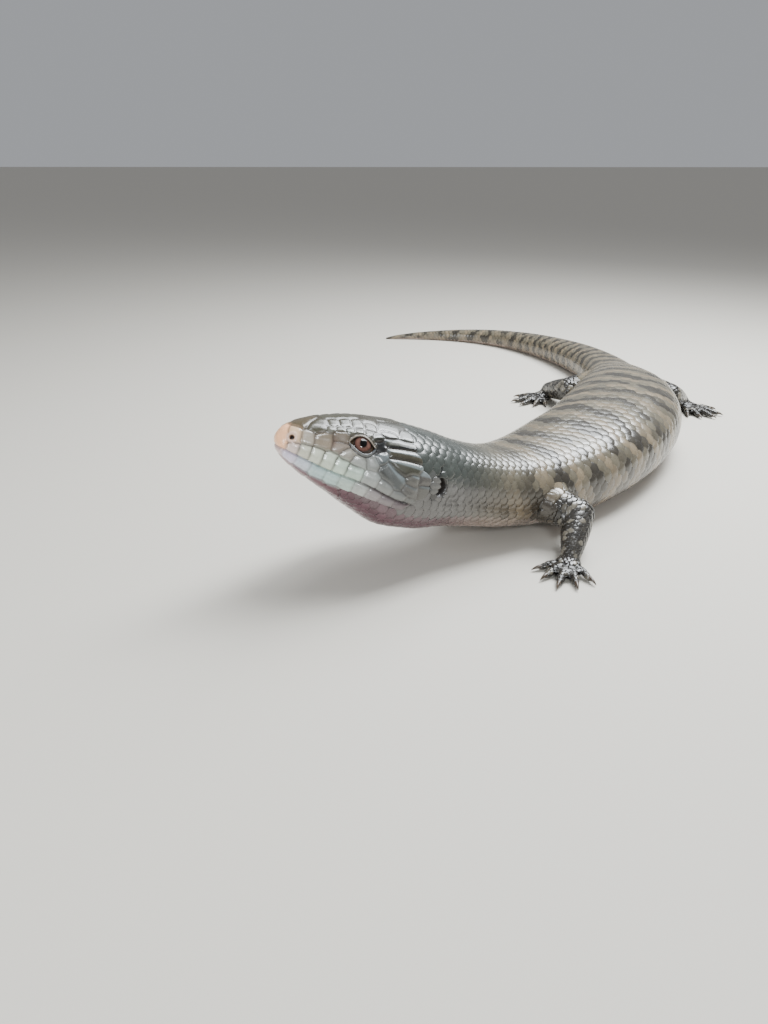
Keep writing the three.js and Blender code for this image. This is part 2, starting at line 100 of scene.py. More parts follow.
def unit(vectors):
    return vectors / np.maximum(np.linalg.norm(vectors, axis=-1, keepdims=True), 1e-12)


def dot(a, b):
    return (a * b).sum(axis=-1)


def norm(vectors):
    return np.linalg.norm(vectors, axis=-1)


def girth(s, size):
    """A girth size at any distance, on a cubic that never swings past the stations on each side."""
    at = GIRTH[:, 0]
    value = GIRTH[:, size]
    slope = np.diff(value) / np.diff(at)
    before, after = slope[:-1], slope[1:]
    steady = before * after > 0
    tangent = np.concatenate([slope[:1], np.zeros(len(before)), slope[-1:]])
    tangent[1:-1][steady] = 2 * (before * after)[steady] / (before + after)[steady]
    i = np.clip(np.searchsorted(at, s) - 1, 0, len(at) - 2)
    span = at[i + 1] - at[i]
    t = np.clip((s - at[i]) / span, 0, 1)
    rise = value[i + 1] - value[i]
    ta, tb = tangent[i] * span, tangent[i + 1] * span
    return value[i] + t * (ta + t * (3 * rise - 2 * ta - tb + t * (ta + tb - 2 * rise)))


def spine_line():
    s = np.arange(0, TOTAL_LENGTH + SPINE_STEP / 2, SPINE_STEP)
    turned = sum(turn * ease((s - start) / (end - start)) for start, end, turn in BENDS)
    heading = np.radians(HEAD_HEADING + turned)
    pitch = np.radians(HEAD_PITCH * (1 - ease((s - HEAD_LENGTH) / (RAISED_TO - HEAD_LENGTH))))
    run = np.cos(pitch) * SPINE_STEP
    line = np.zeros((len(s), 3))
    line[1:, 0] = np.cumsum(np.cos(heading) * run)[:-1]
    line[1:, 1] = np.cumsum(np.sin(heading) * run)[:-1]
    line[:, 2] = girth(s, BELOW) - FLAT * ease((s - RAISED_TO) / 40 + 1)
    for i in range(round(RAISED_TO / SPINE_STEP) - 1, -1, -1):
        line[i, 2] = line[i + 1, 2] + math.sin(pitch[i]) * SPINE_STEP
    return line


SPINE = spine_line()


def body_frame(s):
    """The spine point, the way to the tail, the animal's left, and up, at a distance from the snout."""
    i = np.clip(np.asarray(s, float) / SPINE_STEP, 0, len(SPINE) - 1.001)
    k = np.floor(i).astype(int)
    part = (i - k)[..., None]
    point = SPINE[k] * (1 - part) + SPINE[k + 1] * part
    reach = 6
    tailward = unit(SPINE[np.minimum(k + reach, len(SPINE) - 1)] - SPINE[np.maximum(k - reach, 0)])
    left = unit(np.cross(tailward, UP))
    return point, tailward, left, np.cross(left, tailward)


def body_point(s, phi, sunk=0.0):
    """A point of the body's surface, or sunk below it: phi runs from the crown round the left side."""
    s, phi, sunk = np.broadcast_arrays(np.asarray(s, float), np.asarray(phi, float), sunk)
    point, _, left, up = body_frame(s)
    in_head = 1 - ease((s - HEAD_LENGTH) / 24)
    across = np.sign(np.sin(phi)) * np.abs(np.sin(phi)) ** (2 / ROUNDNESS)
    rise = np.sign(np.cos(phi)) * np.abs(np.cos(phi)) ** (2 / ROUNDNESS)
    jowl = 1 - 0.13 * in_head * np.cos(phi)
    sideways = (girth(s, HALF_WIDTH) - sunk) * across * jowl
    upward = (np.where(rise > 0, girth(s, ABOVE), girth(s, BELOW)) - sunk) * rise
    made = point + left * sideways[..., None] + up * upward[..., None]
    made[..., 2] = np.maximum(made[..., 2], 0)
    return made


def head_frame(s, phi):
    """A place on the head: its point, and the directions rearward, down round the head, and outward."""
    point = body_point(s, phi)
    rearward = unit(body_point(s + 0.4, phi) - body_point(max(s - 0.4, 0.05), phi))
    around = unit(body_point(s, phi + 0.01) - body_point(s, phi - 0.01))
    outward = unit(np.cross(around, rearward))
    if outward @ (point - body_frame(s + 6)[0]) < 0:
        outward = -outward
    downward = unit(np.cross(outward, rearward))
    if downward[2] > 0:
        downward = -downward
    return point, rearward, downward, outward


def side_place(feature, sign):
    """Where one of the head's paired features lies: on the left with sign 1, on the right with -1."""
    return head_frame(feature["at"], sign * math.radians(feature["round"]))


EYE = {
    "at": 24.6, "round": 63.5, "radius": 5.0, "proud": 0.75, "lid": 0.7,
    "half_long": 4.1, "half_high": 2.6, "skew": 0.3,  # the opening between the lids
}


def eye_place(sign):
    point, rearward, downward, outward = side_place(EYE, sign)
    return point - outward * (EYE["radius"] - EYE["proud"]), rearward, downward, outward


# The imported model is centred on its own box, so the eye says how far the body line is moved to meet it
EYE_BOX = np.array([list(corner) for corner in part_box("eye_left")])
SHIFT = EYE_BOX.mean(axis=0) / MM - eye_place(1)[0]


def new_mesh(name, points, faces):
    """A mesh from points and from arrays of triangles and quads."""
    mesh = bpy.data.meshes.new(name)
    corners = np.concatenate([part.ravel() for part in faces]).astype(np.int32)
    sizes = np.concatenate([np.full(len(part), part.shape[1]) for part in faces])
    mesh.vertices.add(len(points))
    mesh.vertices.foreach_set("co", points.astype(np.float32).ravel())
    mesh.loops.add(len(corners))
    mesh.loops.foreach_set("vertex_index", corners)
    mesh.polygons.add(len(sizes))
    mesh.polygons.foreach_set("loop_start", (np.cumsum(sizes) - sizes).astype(np.int32))
    mesh.update(calc_edges=True)
    mesh.validate()
    return mesh


def add_piece(name, points, faces, slot):
    """A piece of the animal in the scene, from points in millimetres along its body line."""
    mesh = new_mesh(name, (points + SHIFT) * MM, faces)
    mesh.shade_smooth()
    piece = bpy.data.objects.new(name, mesh)
    bpy.context.scene.collection.objects.link(piece)
    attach(piece, "root")
    return piece


# Camera
# The photograph is taken from the animal's left, a little above the head and close to it, with a phone's
# wide lens. Its place is given in the body line's own frame, where the spine starts at the snout over x
# and y 0.
PHOTO_HIGH = 1024
FOCAL_PIXELS = 770
CAMERA_AZIMUTH = -89.4
CAMERA_DOWN = 26
CAMERA_PLACE = np.array([-235.75, -37.32, 143.84])
lens = bpy.data.cameras.new("view")
lens.sensor_fit = "AUTO"
lens.sensor_width = 36
lens.lens = FOCAL_PIXELS / PHOTO_HIGH * lens.sensor_width
lens.clip_start = 0.01
camera = bpy.data.objects.new("view", lens)
camera.location = Vector((CAMERA_PLACE + SHIFT) * MM)
camera.rotation_euler = (math.radians(90 - CAMERA_DOWN), 0, math.radians(CAMERA_AZIMUTH))
bpy.context.scene.collection.objects.link(camera)
bpy.context.scene.camera = camera

# Head form
# The head's skin lies close on the skull, in a fine grid of rings from the snout and columns round it.
# The brow, the lips, the nostrils, the ears and the lids are raised or sunk in it.
HEAD_END = 64
HEAD_RINGS = 226
HEAD_COLUMNS = 360
TRUNK_DEPTH = 0.55  # how far the skin lies below the scales' outer surface
BROW = {"start": 9, "end": 33, "round": 48, "wide": 1.9, "raise": 0.6}
MOUTH = [  # millimetres from the snout and degrees round, from a corner to the middle
    (43.5, 106), (37, 106.5), (28, 105), (16.5, 109), (9, 110.5),
    (4.5, 114), (2.2, 122), (1.1, 142), (0.8, 180),
]
MOUTH_SAMPLES = 900
NOSTRIL = {"at": 2.8, "round": 72, "radius": 0.8, "depth": 1.8, "ring": 1.6, "ring_raise": 0.2}
EAR = {"at": HEAD_LENGTH - 0.6, "round": 86, "half_long": 2.1, "half_high": 3.1, "depth": 3.4}


def even_steps(crowding, low, high, count):
    """Values from low to high, closer together where crowding(value) is greater."""
    fine = np.linspace(low, high, 4001)
    filled = np.concatenate([[0], np.cumsum((crowding(fine)[1:] + crowding(fine)[:-1]) / 2)])
    return np.interp(np.linspace(0, filled[-1], count), filled, fine)


def ring_crowding(s):
    steep = norm(body_point(s + 0.05, 1.4) - body_point(np.maximum(s - 0.05, 0), 1.4)) / 0.1
    return steep * (1 + 0.25 * np.exp(-(((s - EYE["at"]) / 7) ** 2))) * (1 - 0.6 * ease((s - 60) / 3))


def column_crowding(phi):
    round_degrees = np.degrees(np.abs(phi))
    face = ease((round_degrees - 22) / 16) * (1 - ease((round_degrees - 122) / 16))
    return 0.6 + 0.5 * (1 - ease((round_degrees - 100) / 40)) + 1.3 * face


HEAD_S = even_steps(ring_crowding, 0.03, HEAD_END, HEAD_RINGS)
HEAD_PHI = even_steps(column_crowding, -math.pi, math.pi, HEAD_COLUMNS + 1)[:-1]
S_GRID, PHI_GRID = np.meshgrid(HEAD_S, HEAD_PHI, indexing="ij")


def surface_ways(s, phi):
    """The ways along and round the surface, and the millimetres that a unit of s and of phi covers."""
    along = (body_point(s + 0.2, phi) - body_point(np.maximum(s - 0.2, 0.001), phi)) / 0.4
    around = (body_point(s, phi + 0.02) - body_point(s, phi - 0.02)) / 0.04
    return unit(along), unit(around), norm(along), norm(around)


def smooth_line(knots, count):
    """A rounded line through a few knots."""
    spans = np.linspace(0, len(knots) - 1, count)
    k = np.minimum(spans.astype(int), len(knots) - 2)[:, None]
    t = spans[:, None] - k
    p0, p1, p2, p3 = (knots[np.clip(k[:, 0] + i, 0, len(knots) - 1)] for i in (-1, 0, 1, 2))
    p0 = np.where(k > 0, p0, 2 * p1 - p2)
    p3 = np.where(k < len(knots) - 2, p3, 2 * p2 - p1)
    bend, sway = 2 * p0 - 5 * p1 + 4 * p2 - p3, 3 * p1 - p0 - 3 * p2 + p3
    return (2 * p1 + (p2 - p0) * t + bend * t**2 + sway * t**3) / 2


def mouth_line():
    """The mouth's points from its left corner to its right, and the ways along it and up from it."""
    knots = np.array(MOUTH + [(s, 360 - phi) for s, phi in MOUTH[-2::-1]], float)
    bend = smooth_line(knots, MOUTH_SAMPLES)
    points = body_point(bend[:, 0], np.radians(bend[:, 1]))
    along = unit(np.gradient(points, axis=0))
    outward = unit(points - body_frame(bend[:, 0] + 8)[0])
    above = unit(np.cross(along, outward))
    above[above[:, 2] < 0] *= -1
    return points, along, above


MOUTH_POINTS, MOUTH_ALONG, MOUTH_ABOVE = mouth_line()


def nearest_of(spots, points):
    """Which of the spots is the nearest to each point."""
    tree = KDTree(len(spots))
    for i, spot in enumerate(spots):
        tree.insert(spot, i)
    tree.balance()
    return np.array([tree.find(point)[1] for point in points])


def mouth_places():
    """How far each point of the grid is above the mouth line, how far past its corner, and which
    sample of the line is the nearest."""
    points = body_point(S_GRID, PHI_GRID).reshape(-1, 3)
    nearest = nearest_of(MOUTH_POINTS, points)
    apart = points - MOUTH_POINTS[nearest]
    past = np.where(nearest == 0, -dot(apart, MOUTH_ALONG[0]), 0)
    past = np.where(nearest == MOUTH_SAMPLES - 1, dot(apart, MOUTH_ALONG[-1]), past)
    above = dot(apart, MOUTH_ABOVE[nearest])
    return [v.reshape(S_GRID.shape) for v in (above, np.maximum(past, 0), nearest)]


def hump(x):
    return np.maximum(1 - x * x, 0) ** 2


def local(points, place):
    """Points in a place's own directions: rearward, downward and outward, in millimetres from it."""
    centre, rearward, downward, outward = place
    apart = points - centre
    return dot(apart, rearward), dot(apart, downward), dot(apart, outward)


ABOVE_MOUTH, PAST_CORNER, MOUTH_NEAREST = mouth_places()

# Head shields
# The crown, lips, cheeks and chin are covered by large smooth plates of horn that meet in fine sutures.
# Each is listed by its middle, in millimetres from the snout and degrees from the crown, its half size
# along and across the head, how far it turns down towards the rear, and its colour.
UPPER_SHIELDS = [
    (3.4, 64, 2.1, 2.6, 0, "#cfb08d"),  # nasal
    (7.5, 67, 2.0, 2.2, 0, "#9f9688"),  # loreals
    (12.3, 67.5, 2.7, 2.5, 0, "#837766"),
    (17.2, 58, 1.9, 1.9, 0, "#6d6255"),  # preoculars
    (17.2, 73, 1.8, 1.7, 0, "#85796d"),
    (3.9, 99, 1.8, 2.0, 0, "#d3c0b7"),  # supralabials
    (7.5, 96, 1.85, 2.3, 0, "#c2c1ae"),
    (11.3, 95, 2.0, 2.4, 0, "#c7cbb8"),
    (15.4, 96, 2.05, 2.3, 0, "#c2cbb8"),
    (19.6, 97, 2.1, 2.2, 0, "#bdcdbb"),
    (24.3, 98, 2.6, 2.1, 0, "#b0c0b2"),
    (29.5, 98, 2.6, 2.2, 0, "#949792"),
    (34.6, 99.5, 2.5, 2.0, 0, "#7d7e7a"),
    (39.9, 102, 2.6, 1.6, 0, "#6d6e6b"),
    (44.0, 103, 1.8, 1.5, 0, "#5e5e5b"),
    (20.6, 82.5, 1.8, 1.3, 0, "#938e83"),  # suboculars
    (24.8, 86, 2.4, 1.3, 0, "#959791"),
    (28.6, 82.5, 1.9, 1.7, 0, "#848682"),
    (30.6, 59, 1.5, 2.2, 0, "#1c1816"),  # postoculars
    (31.4, 72, 1.7, 2.0, 0, "#616768"),
    (38.3, 47, 5.4, 1.5, -8, "#38382f"),  # temporals
    (39.2, 61.5, 5.4, 1.6, -4, "#373327"),
    (40.0, 76, 5.3, 2.4, 0, "#3d3c32"),
    (36.3, 89, 4.4, 2.4, 32, "#515351"),  # cheeks
    (42.9, 85.5, 2.5, 2.2, 10, "#585651"),
    (47.6, 82.5, 2.5, 2.5, 0, "#54514d"),
    (43.2, 94.5, 3.2, 1.9, 12, "#5a5854"),
    (48.2, 92.0, 2.3, 2.4, 0, "#55534e"),
    (14.0, 44, 1.6, 1.4, 0, "#5e5d53"),  # supraciliaries
    (17.2, 43, 1.6, 1.3, 0, "#595a50"),
    (20.4, 42, 1.6, 1.2, 0, "#53554c"),
    (23.6, 41.5, 1.6, 1.1, 0, "#505148"),
    (26.8, 42.5, 1.6, 1.2, 0, "#4b4b42"),
    (29.8, 45.5, 1.6, 1.4, 0, "#2b2b23"),
    (15.4, 27, 1.9, 2.2, 0, "#424033"),  # supraoculars
    (19.2, 26, 2.0, 2.7, 0, "#403e33"),
    (23.4, 26, 2.1, 2.9, 0, "#413f33"),
    (27.6, 27.5, 2.0, 2.7, 0, "#403c32"),
    (10.4, 33, 3.4, 2.9, 0, "#423f32"),  # prefrontal
    (7.2, 0, 3.4, 4.0, 0, "#4f4534"),  # frontonasal
    (19.6, 0, 6.4, 3.2, 0, "#423f32"),  # frontal
    (28.4, 12, 3.2, 2.8, 0, "#413d31"),  # frontoparietal
    (34.5, 0, 4.0, 2.4, 0, "#3e3b2f"),  # interparietal
    (35.4, 20, 4.6, 3.7, 0, "#403f38"),  # parietals
    (34.0, 35, 2.6, 1.5, 8, "#454542"),
    (40.6, 31.5, 2.4, 3.0, 0, "#3f403b"),
]
LOWER_SHIELDS = [
    (1.4, 180, 1.5, 2.8, 0, "#c2aba6"),  # mental
    (5.4, 180, 2.6, 3.0, 0, "#88686a"),  # postmental
    (4.0, 130, 2.2, 2.4, -10, "#cec6d7"),  # infralabials
    (8.6, 126, 2.4, 2.7, -10, "#bfc6cf"),
    (13.6, 122, 2.6, 2.9, -10, "#aec3c2"),
    (18.5, 118.5, 2.4, 2.6, -10, "#afc4bf"),
    (23.2, 115.5, 2.4, 2.3, -10, "#aab9af"),
    (27.8, 113.5, 2.3, 2.0, -10, "#a6a8a2"),
    (32.3, 113, 2.3, 1.8, -10, "#8c8584"),
    (36.8, 113, 2.3, 1.6, -10, "#786f6f"),
    (41.0, 112.5, 2.0, 1.4, -10, "#665b5c"),
    # the chin shields are darkened mauve: their own colour with painted shade under the jaw
    (9.8, 158, 3.0, 2.7, 0, "#6d4d53"),  # chin shields
    (15.8, 152, 3.2, 2.9, 0, "#68484e"),
    (21.8, 146, 3.2, 2.8, 0, "#604248"),
]
ROSTRAL = (4.8, 3.4, 2.4)  # the shield that caps the snout tip: its half size across, up and forward
ROSTRAL_COLOUR = "#fec192"
SQUARENESS = 2.6
SCALES_FROM = [  # degrees from the crown, and where the body's scales begin there
    (0, 43.5), (30, 43), (45, 43.5), (55, 44.5), (62, 46), (73, 47), (80, 50), (86, 51), (95, 50.5),
    (103, 47.5), (108, 45.5), (114, 42), (118, 35), (122, 28), (128, 24), (135, 22), (148, 25),
    (158, 20), (165, 14), (180, 8.5),
]
SUTURE_WIDE = 0.28


def scales_from(round_degrees):
    return np.interp(round_degrees, *zip(*SCALES_FROM))


def hex_colour(code):
    """A linear colour from an sRGB hex value."""
    srgb = np.array([int(code[i:i + 2], 16) for i in (1, 3, 5)]) / 255
    return np.where(srgb <= 0.04045, srgb / 12.92, ((srgb + 0.055) / 1.055) ** 2.4)


def shield_plates():
    """Each shield's middle and directions over its half sizes, its side of the mouth, and its colour."""
    snout, tailward, left, up = body_frame(0.0)
    plates = [[snout + tailward * 0.6, left / ROSTRAL[0], up / ROSTRAL[1], -tailward / ROSTRAL[2]]]
    upper = [True]
    colours = [hex_colour(ROSTRAL_COLOUR)]
    for shields, is_above in ((UPPER_SHIELDS, True), (LOWER_SHIELDS, False)):
        for s, degrees, half_long, half_wide, turned, code in shields:
            turn = math.radians(turned)
            for sign in (1, -1) if 0 < degrees < 180 else (1,):
                centre, rearward, downward, outward = head_frame(s, sign * math.radians(degrees))
                long_way = rearward * math.cos(turn) + downward * math.sin(turn)
                cross_way = downward * math.cos(turn) - rearward * math.sin(turn)
                plates.append([centre, long_way / half_long, cross_way / half_wide, outward / half_wide])
                upper.append(is_above)
                colours.append(hex_colour(code))
    return np.array(plates), np.array(upper), np.array(colours)


PLATES, PLATE_ABOVE, PLATE_COLOURS = shield_plates()


def shield_reach(points, plates):
    """How far points are from the middles of plates, in their half sizes, and how far along and across."""
    x, y, z = (dot(points - plates[..., 0, :], plates[..., k, :]) for k in (1, 2, 3))
    reach = np.abs(x) ** SQUARENESS + np.abs(y) ** SQUARENESS + np.abs(z) ** SQUARENESS
    return reach ** (1 / SQUARENESS), x, y


def nearest_plates(points, above):
    """The numbers of the nearest and the second nearest plate to each point."""
    reach = np.full((2, len(points)), 99.0)
    which = np.zeros((2, len(points)), int)
    for number, plate in enumerate(PLATES):
        mine = np.flatnonzero(above == PLATE_ABOVE[number])
        here = shield_reach(points[mine], plate)[0]
        first = here < reach[0, mine]
        second = ~first & (here < reach[1, mine])
        reach[1, mine] = np.where(first, reach[0, mine], np.where(second, here, reach[1, mine]))
        which[1, mine] = np.where(first, which[0, mine], np.where(second, number, which[1, mine]))
        reach[0, mine] = np.where(first, here, reach[0, mine])
        which[0, mine] = np.where(first, number, which[0, mine])
    return which


def suture_gap(s, phi, which):
    """How much nearer a point is to its own plate than to the next: 0 on the suture between them."""
    points = body_point(s, phi)
    return shield_reach(points, PLATES[which[1]])[0] - shield_reach(points, PLATES[which[0]])[0]


def to_suture(s, phi, which):
    """How far the suture is in millimetres, and the move along and round the head that leads there."""
    _, _, s_run, phi_run = surface_ways(s, phi)
    gap = suture_gap(s, phi, which)
    gap_along = (suture_gap(s + 0.05, phi, which) - gap) / (0.05 * s_run)
    gap_around = (suture_gap(s, phi + 0.005, which) - gap) / (0.005 * phi_run)
    steep = np.maximum(gap_along**2 + gap_around**2, 1e-8)
    return gap / np.sqrt(steep), -gap * gap_along / steep, -gap * gap_around / steep


CELL_S = np.gradient(HEAD_S)[:, None] * np.ones(HEAD_COLUMNS)
CELL_PHI = np.gradient(HEAD_PHI)[None] * np.ones(HEAD_RINGS)[:, None]


def drawn(distance, along, around):
    """The grid with its points moved onto a line that is less than half a cell away, to draw it cleanly."""
    _, _, s_run, phi_run = surface_ways(S_GRID, PHI_GRID)
    step = np.maximum(np.hypot(along, around), 1e-9)
    cell = np.abs(along / step) * CELL_S * s_run + np.abs(around / step) * CELL_PHI * phi_run
    near = (np.abs(distance) < 0.47 * cell) & (S_GRID > 0.5) & (S_GRID < HEAD_END - 6)
    return S_GRID + np.where(near, along / s_run, 0), PHI_GRID + np.where(near, around / phi_run, 0)


def grid_plates():
    """The nearest and the second nearest plate to each point of the grid."""
    points = body_point(S_GRID, PHI_GRID).reshape(-1, 3)
    return nearest_plates(points, ABOVE_MOUTH.ravel() > 0).reshape(2, HEAD_RINGS, HEAD_COLUMNS)


S_GRID, PHI_GRID = drawn(*to_suture(S_GRID, PHI_GRID, grid_plates()))
ABOVE_MOUTH, PAST_CORNER, MOUTH_NEAREST = mouth_places()
along_way, around_way, _, _ = surface_ways(S_GRID, PHI_GRID)
mouth_up = MOUTH_ABOVE[MOUTH_NEAREST]
distance = np.where(PAST_CORNER < 0.4, ABOVE_MOUTH, 9)
S_GRID, PHI_GRID = drawn(
    distance, -ABOVE_MOUTH * dot(mouth_up, along_way), -ABOVE_MOUTH * dot(mouth_up, around_way))
ABOVE_MOUTH, PAST_CORNER, MOUTH_NEAREST = mouth_places()
ROUND_DEGREES = np.degrees(np.abs(PHI_GRID))
base = body_point(S_GRID, PHI_GRID)
along_way, around_way, _, _ = surface_ways(S_GRID, PHI_GRID)
base_normal = unit(np.cross(around_way, along_way))
base_normal *= np.sign(dot(base_normal, base - body_frame(S_GRID + 6)[0]))[..., None]
base_normal[0] = -body_frame(0.0)[1]
which_plates = grid_plates()
SHIELD, NEXT_SHIELD = which_plates
SUTURE = to_suture(S_GRID, PHI_GRID, which_plates)[0]
shield_out, shield_back, SHIELD_DOWN = shield_reach(base, PLATES[SHIELD])
_, next_back, NEXT_DOWN = shield_reach(base, PLATES[NEXT_SHIELD])
NEXT_SHARE = 0.5 * np.exp(-((SUTURE / 0.3) ** 2))  # so that both sides of a suture agree on it
shield_back = shield_back + (next_back - shield_back) * NEXT_SHARE
to_scales = S_GRID - scales_from(ROUND_DEGREES) + 2.2 * np.clip(shield_out - 1, -0.5, 0.5)

# The skull's ridges and the rolled lips stand under the plates. Each plate is a shallow dome, raised a
# little at its rear edge, and more so on the temples.
lift = np.zeros(S_GRID.shape)
brow_off = np.radians(ROUND_DEGREES - BROW["round"]) * girth(S_GRID, HALF_WIDTH)
brow_on = ease((S_GRID - BROW["start"]) / 6) * (1 - ease((S_GRID - BROW["end"] + 6) / 6))
lift += BROW["raise"] * brow_on * np.exp(-((brow_off / BROW["wide"]) ** 2))
lift -= 0.45 * hump((S_GRID - 12) / 8) * hump((ROUND_DEGREES - 67) / 14)  # the hollow before the eye
lip_on = np.exp(-((PAST_CORNER / 1.5) ** 2))
front = 1 - 0.7 * hump((MOUTH_NEAREST / MOUTH_SAMPLES - 0.5) / 0.16)
lift += 0.42 * lip_on * front * hump((ABOVE_MOUTH - 2.3) / 2.2)
lift += 0.36 * lip_on * front * hump((ABOVE_MOUTH + 1.9) / 1.8)
mouth_shut = lip_on * np.exp(-((ABOVE_MOUTH / 0.3) ** 2))
lift -= 0.8 * mouth_shut
in_shields = 1 - ease((to_scales + 0.45) / 0.9)
temple = ease((S_GRID - 28) / 5) * (1 - ease((ROUND_DEGREES - 84) / 14)) * ease((ROUND_DEGREES - 36) / 8)
lift -= in_shields * (0.15 + 0.2 * temple) * np.exp(-((SUTURE / 0.8) ** 2))
lift -= 0.12 * (np.exp(-((SUTURE / SUTURE_WIDE) ** 2)) * in_shields)
behind_eye = np.exp(-(((S_GRID - 31) / 1.6) ** 4) - ((ROUND_DEGREES - 58) / 8) ** 4)
lift -= 0.7 * behind_eye
lift += in_shields * (0.07 + 0.07 * temple) * np.clip(shield_back, -1, 1) * (S_GRID > 6)
lift -= TRUNK_DEPTH * (1 - in_shields)

# Nostrils and ears
# The nostril is a round hole in a raised ring of the snout's horn. The ear is an open pit in the skin
# behind the jaw, with the drum inside it. Both are grown into the head and are sunk in its rings.
def ear_reach(x, y):
    """How far out a place is from the middle of the ear: 1 on the pit's rim."""
    return np.hypot(x / EAR["half_long"], y / EAR["half_high"])


head_points = base + base_normal * lift[..., None]
NOSTRIL_HOLE_SHADE = np.zeros(S_GRID.shape)
NOSTRIL_RING = np.zeros(S_GRID.shape)
EAR_PIT_SHADE = np.zeros(S_GRID.shape)
for sign in (1, -1):
    nostril = side_place(NOSTRIL, sign)
    x, y, z = local(head_points, nostril)
    off = np.where(z > -3, np.hypot(x, y), 99)
    core = np.sqrt(np.maximum(1 - (off / NOSTRIL["radius"]) ** 2, 0))
    ring = np.exp(-(((off - NOSTRIL["ring"]) / 0.5) ** 2))
    head_points += nostril[3] * (NOSTRIL["ring_raise"] * ring - NOSTRIL["depth"] * core)[..., None]
    # a mask for painted shade in the nostril's hole, and one for its pale ring
    NOSTRIL_HOLE_SHADE = np.maximum(NOSTRIL_HOLE_SHADE, np.exp(-((off / (NOSTRIL["radius"] * 1.15)) ** 6)))
    NOSTRIL_RING = np.maximum(NOSTRIL_RING, np.exp(-(((off - 1.35) / 0.55) ** 2)))

    ear = side_place(EAR, sign)
    x, y, z = local(head_points, ear)
    off = np.where(z > -3, ear_reach(x, y), 99)
    head_points -= ear[3] * (EAR["depth"] * np.sqrt(np.maximum(1 - off * off, 0)))[..., None]
    head_points += ear[3] * (0.3 * np.exp(-(((off - 1.25) / 0.22) ** 2)))[..., None]
    # a mask for painted shade in the ear's pit
    EAR_PIT_SHADE = np.maximum(EAR_PIT_SHADE, np.exp(-(off**8)))

# Eyelids
# Two thick folds follow the eyeball and meet in a corner at each end of a slanting oval. They are a ring
# of soft skin whose outer edge dips under the head's skin, in the furrow that rings the eye.
LID_OUTER = (5.7, 4.4)  # half size of the ring that the lids fill, along and down the head
LID_SAMPLES = 60  # along each lid
LID_SHARES = (  # where the rings lie, from the edge of the opening outwards
    0, 0.02, 0.05, 0.09, 0.14, 0.2, 0.27, 0.35, 0.43, 0.51, 0.59, 0.67, 0.75, 0.82, 0.87, 0.92, 0.96, 1,
)
LID_ROLL = 0.6
LID_PROUD = 0.09
LID_FURROW = 0.32


def almond(x, y):
    """How far outside the lids' opening a place is, in millimetres."""
    x = x - EYE["skew"] * y
    inside = np.abs(x) < EYE["half_long"]
    height = EYE["half_high"] * (1 - (x / EYE["half_long"]) ** 2)
    slope = 2 * EYE["half_high"] * x / EYE["half_long"] ** 2
    over = (np.abs(y) - height) / np.sqrt(1 + slope * slope)
    past = np.abs(x) - EYE["half_long"]
    end_slope = 2 * EYE["half_high"] / EYE["half_long"]
    beside_end = (end_slope * past + np.abs(y)) / math.hypot(end_slope, 1)
    return np.where(inside, over, np.where(past < end_slope * np.abs(y), beside_end, np.hypot(past, y)))


def lid_reach(x, y):
    """How far out a place is: 0 on the edge of the opening and 1 on the outer edge of the lids."""
    sheared = x - EYE["skew"] * y
    a, b = (sheared / EYE["half_long"]) ** 2, np.abs(y) / EYE["half_high"]
    to_rim = (np.sqrt(b * b + 4 * a) - b) / np.maximum(2 * a, 1e-6)
    to_rim = np.where(a > 1e-6, to_rim, 1 / np.maximum(b, 1e-6))
    to_edge = 1 / np.maximum(np.hypot(sheared / LID_OUTER[0], y / LID_OUTER[1]), 1e-6)
    return (1 - to_rim) / np.maximum(to_edge - to_rim, 1e-6)


def ball_height(radius, x, y):
    return np.sqrt(np.maximum(radius**2 - x * x - y * y, 0))


def lid_ring(sign, head_tree):
    """The points of one eye's lids, ring by ring outwards, with each point's place seen from outside."""
    centre, rearward, downward, outward = eye_place(sign)
    span = np.linspace(-1, 1, LID_SAMPLES + 1)[:-1]
    rim_y = np.concatenate([-(1 - span**2), 1 - span**2]) * EYE["half_high"]
    rim_x = np.concatenate([span, -span]) * EYE["half_long"] + EYE["skew"] * rim_y
    edge = 1 / np.hypot((rim_x - EYE["skew"] * rim_y) / LID_OUTER[0], rim_y / LID_OUTER[1])
    shares = np.array(LID_SHARES)[:, None]
    x, y = rim_x * (1 + (edge - 1) * shares), rim_y * (1 + (edge - 1) * shares)
    far = centre + rearward * x[..., None] + downward * y[..., None] + outward * 14
    hits = [head_tree.ray_cast(Vector(p), Vector(-outward))[0] for p in far.reshape(-1, 3)]
    head_high = np.array([(np.array(hit) - centre) @ outward for hit in hits]).reshape(x.shape)
    lid_high = ball_height(EYE["radius"] + EYE["lid"], x, y)
    skin_high = head_high + LID_PROUD
    fold = 0.5 * (lid_high + skin_high + np.sqrt((lid_high - skin_high) ** 2 + 0.3**2))
    out = np.maximum(almond(x, y), 0)
    rim_high = ball_height(EYE["radius"] + 0.03, x, y)
    closing = np.sqrt(1 - (1 - np.clip(out / LID_ROLL, 0, 1)) ** 2)
    high = rim_high + (fold - rim_high) * closing
    crease = np.cos(np.arange(2 * LID_SAMPLES) * math.pi / 2.5) * hump((shares - 0.6) / 0.4)
    high += 0.012 * crease - LID_FURROW * ease((out - 0.62) / 0.25) * (1 - ease((out - 0.9) / 0.7))
    high -= (0.16 + LID_PROUD * 2) * ease((shares - 0.8) / 0.2)
    x = np.concatenate([x[:1] * 0.985, x])
    y = np.concatenate([y[:1] * 0.985, y])
    high = np.concatenate([high[:1] - 0.7, high])
    points = centre + rearward * x[..., None] + downward * y[..., None] + outward * high[..., None]
    return points, x, y, np.concatenate([out[:1], out])


def grid_quads(rings, columns):
    """Faces between rings of points that close on themselves."""
    ring = np.arange(rings - 1)[:, None] * columns
    column = np.arange(columns)[None]
    beside = (column + 1) % columns
    corners = [ring + column, ring + columns + column, ring + columns + beside, ring + beside]
    return np.stack(corners, axis=-1).reshape(-1, 4)


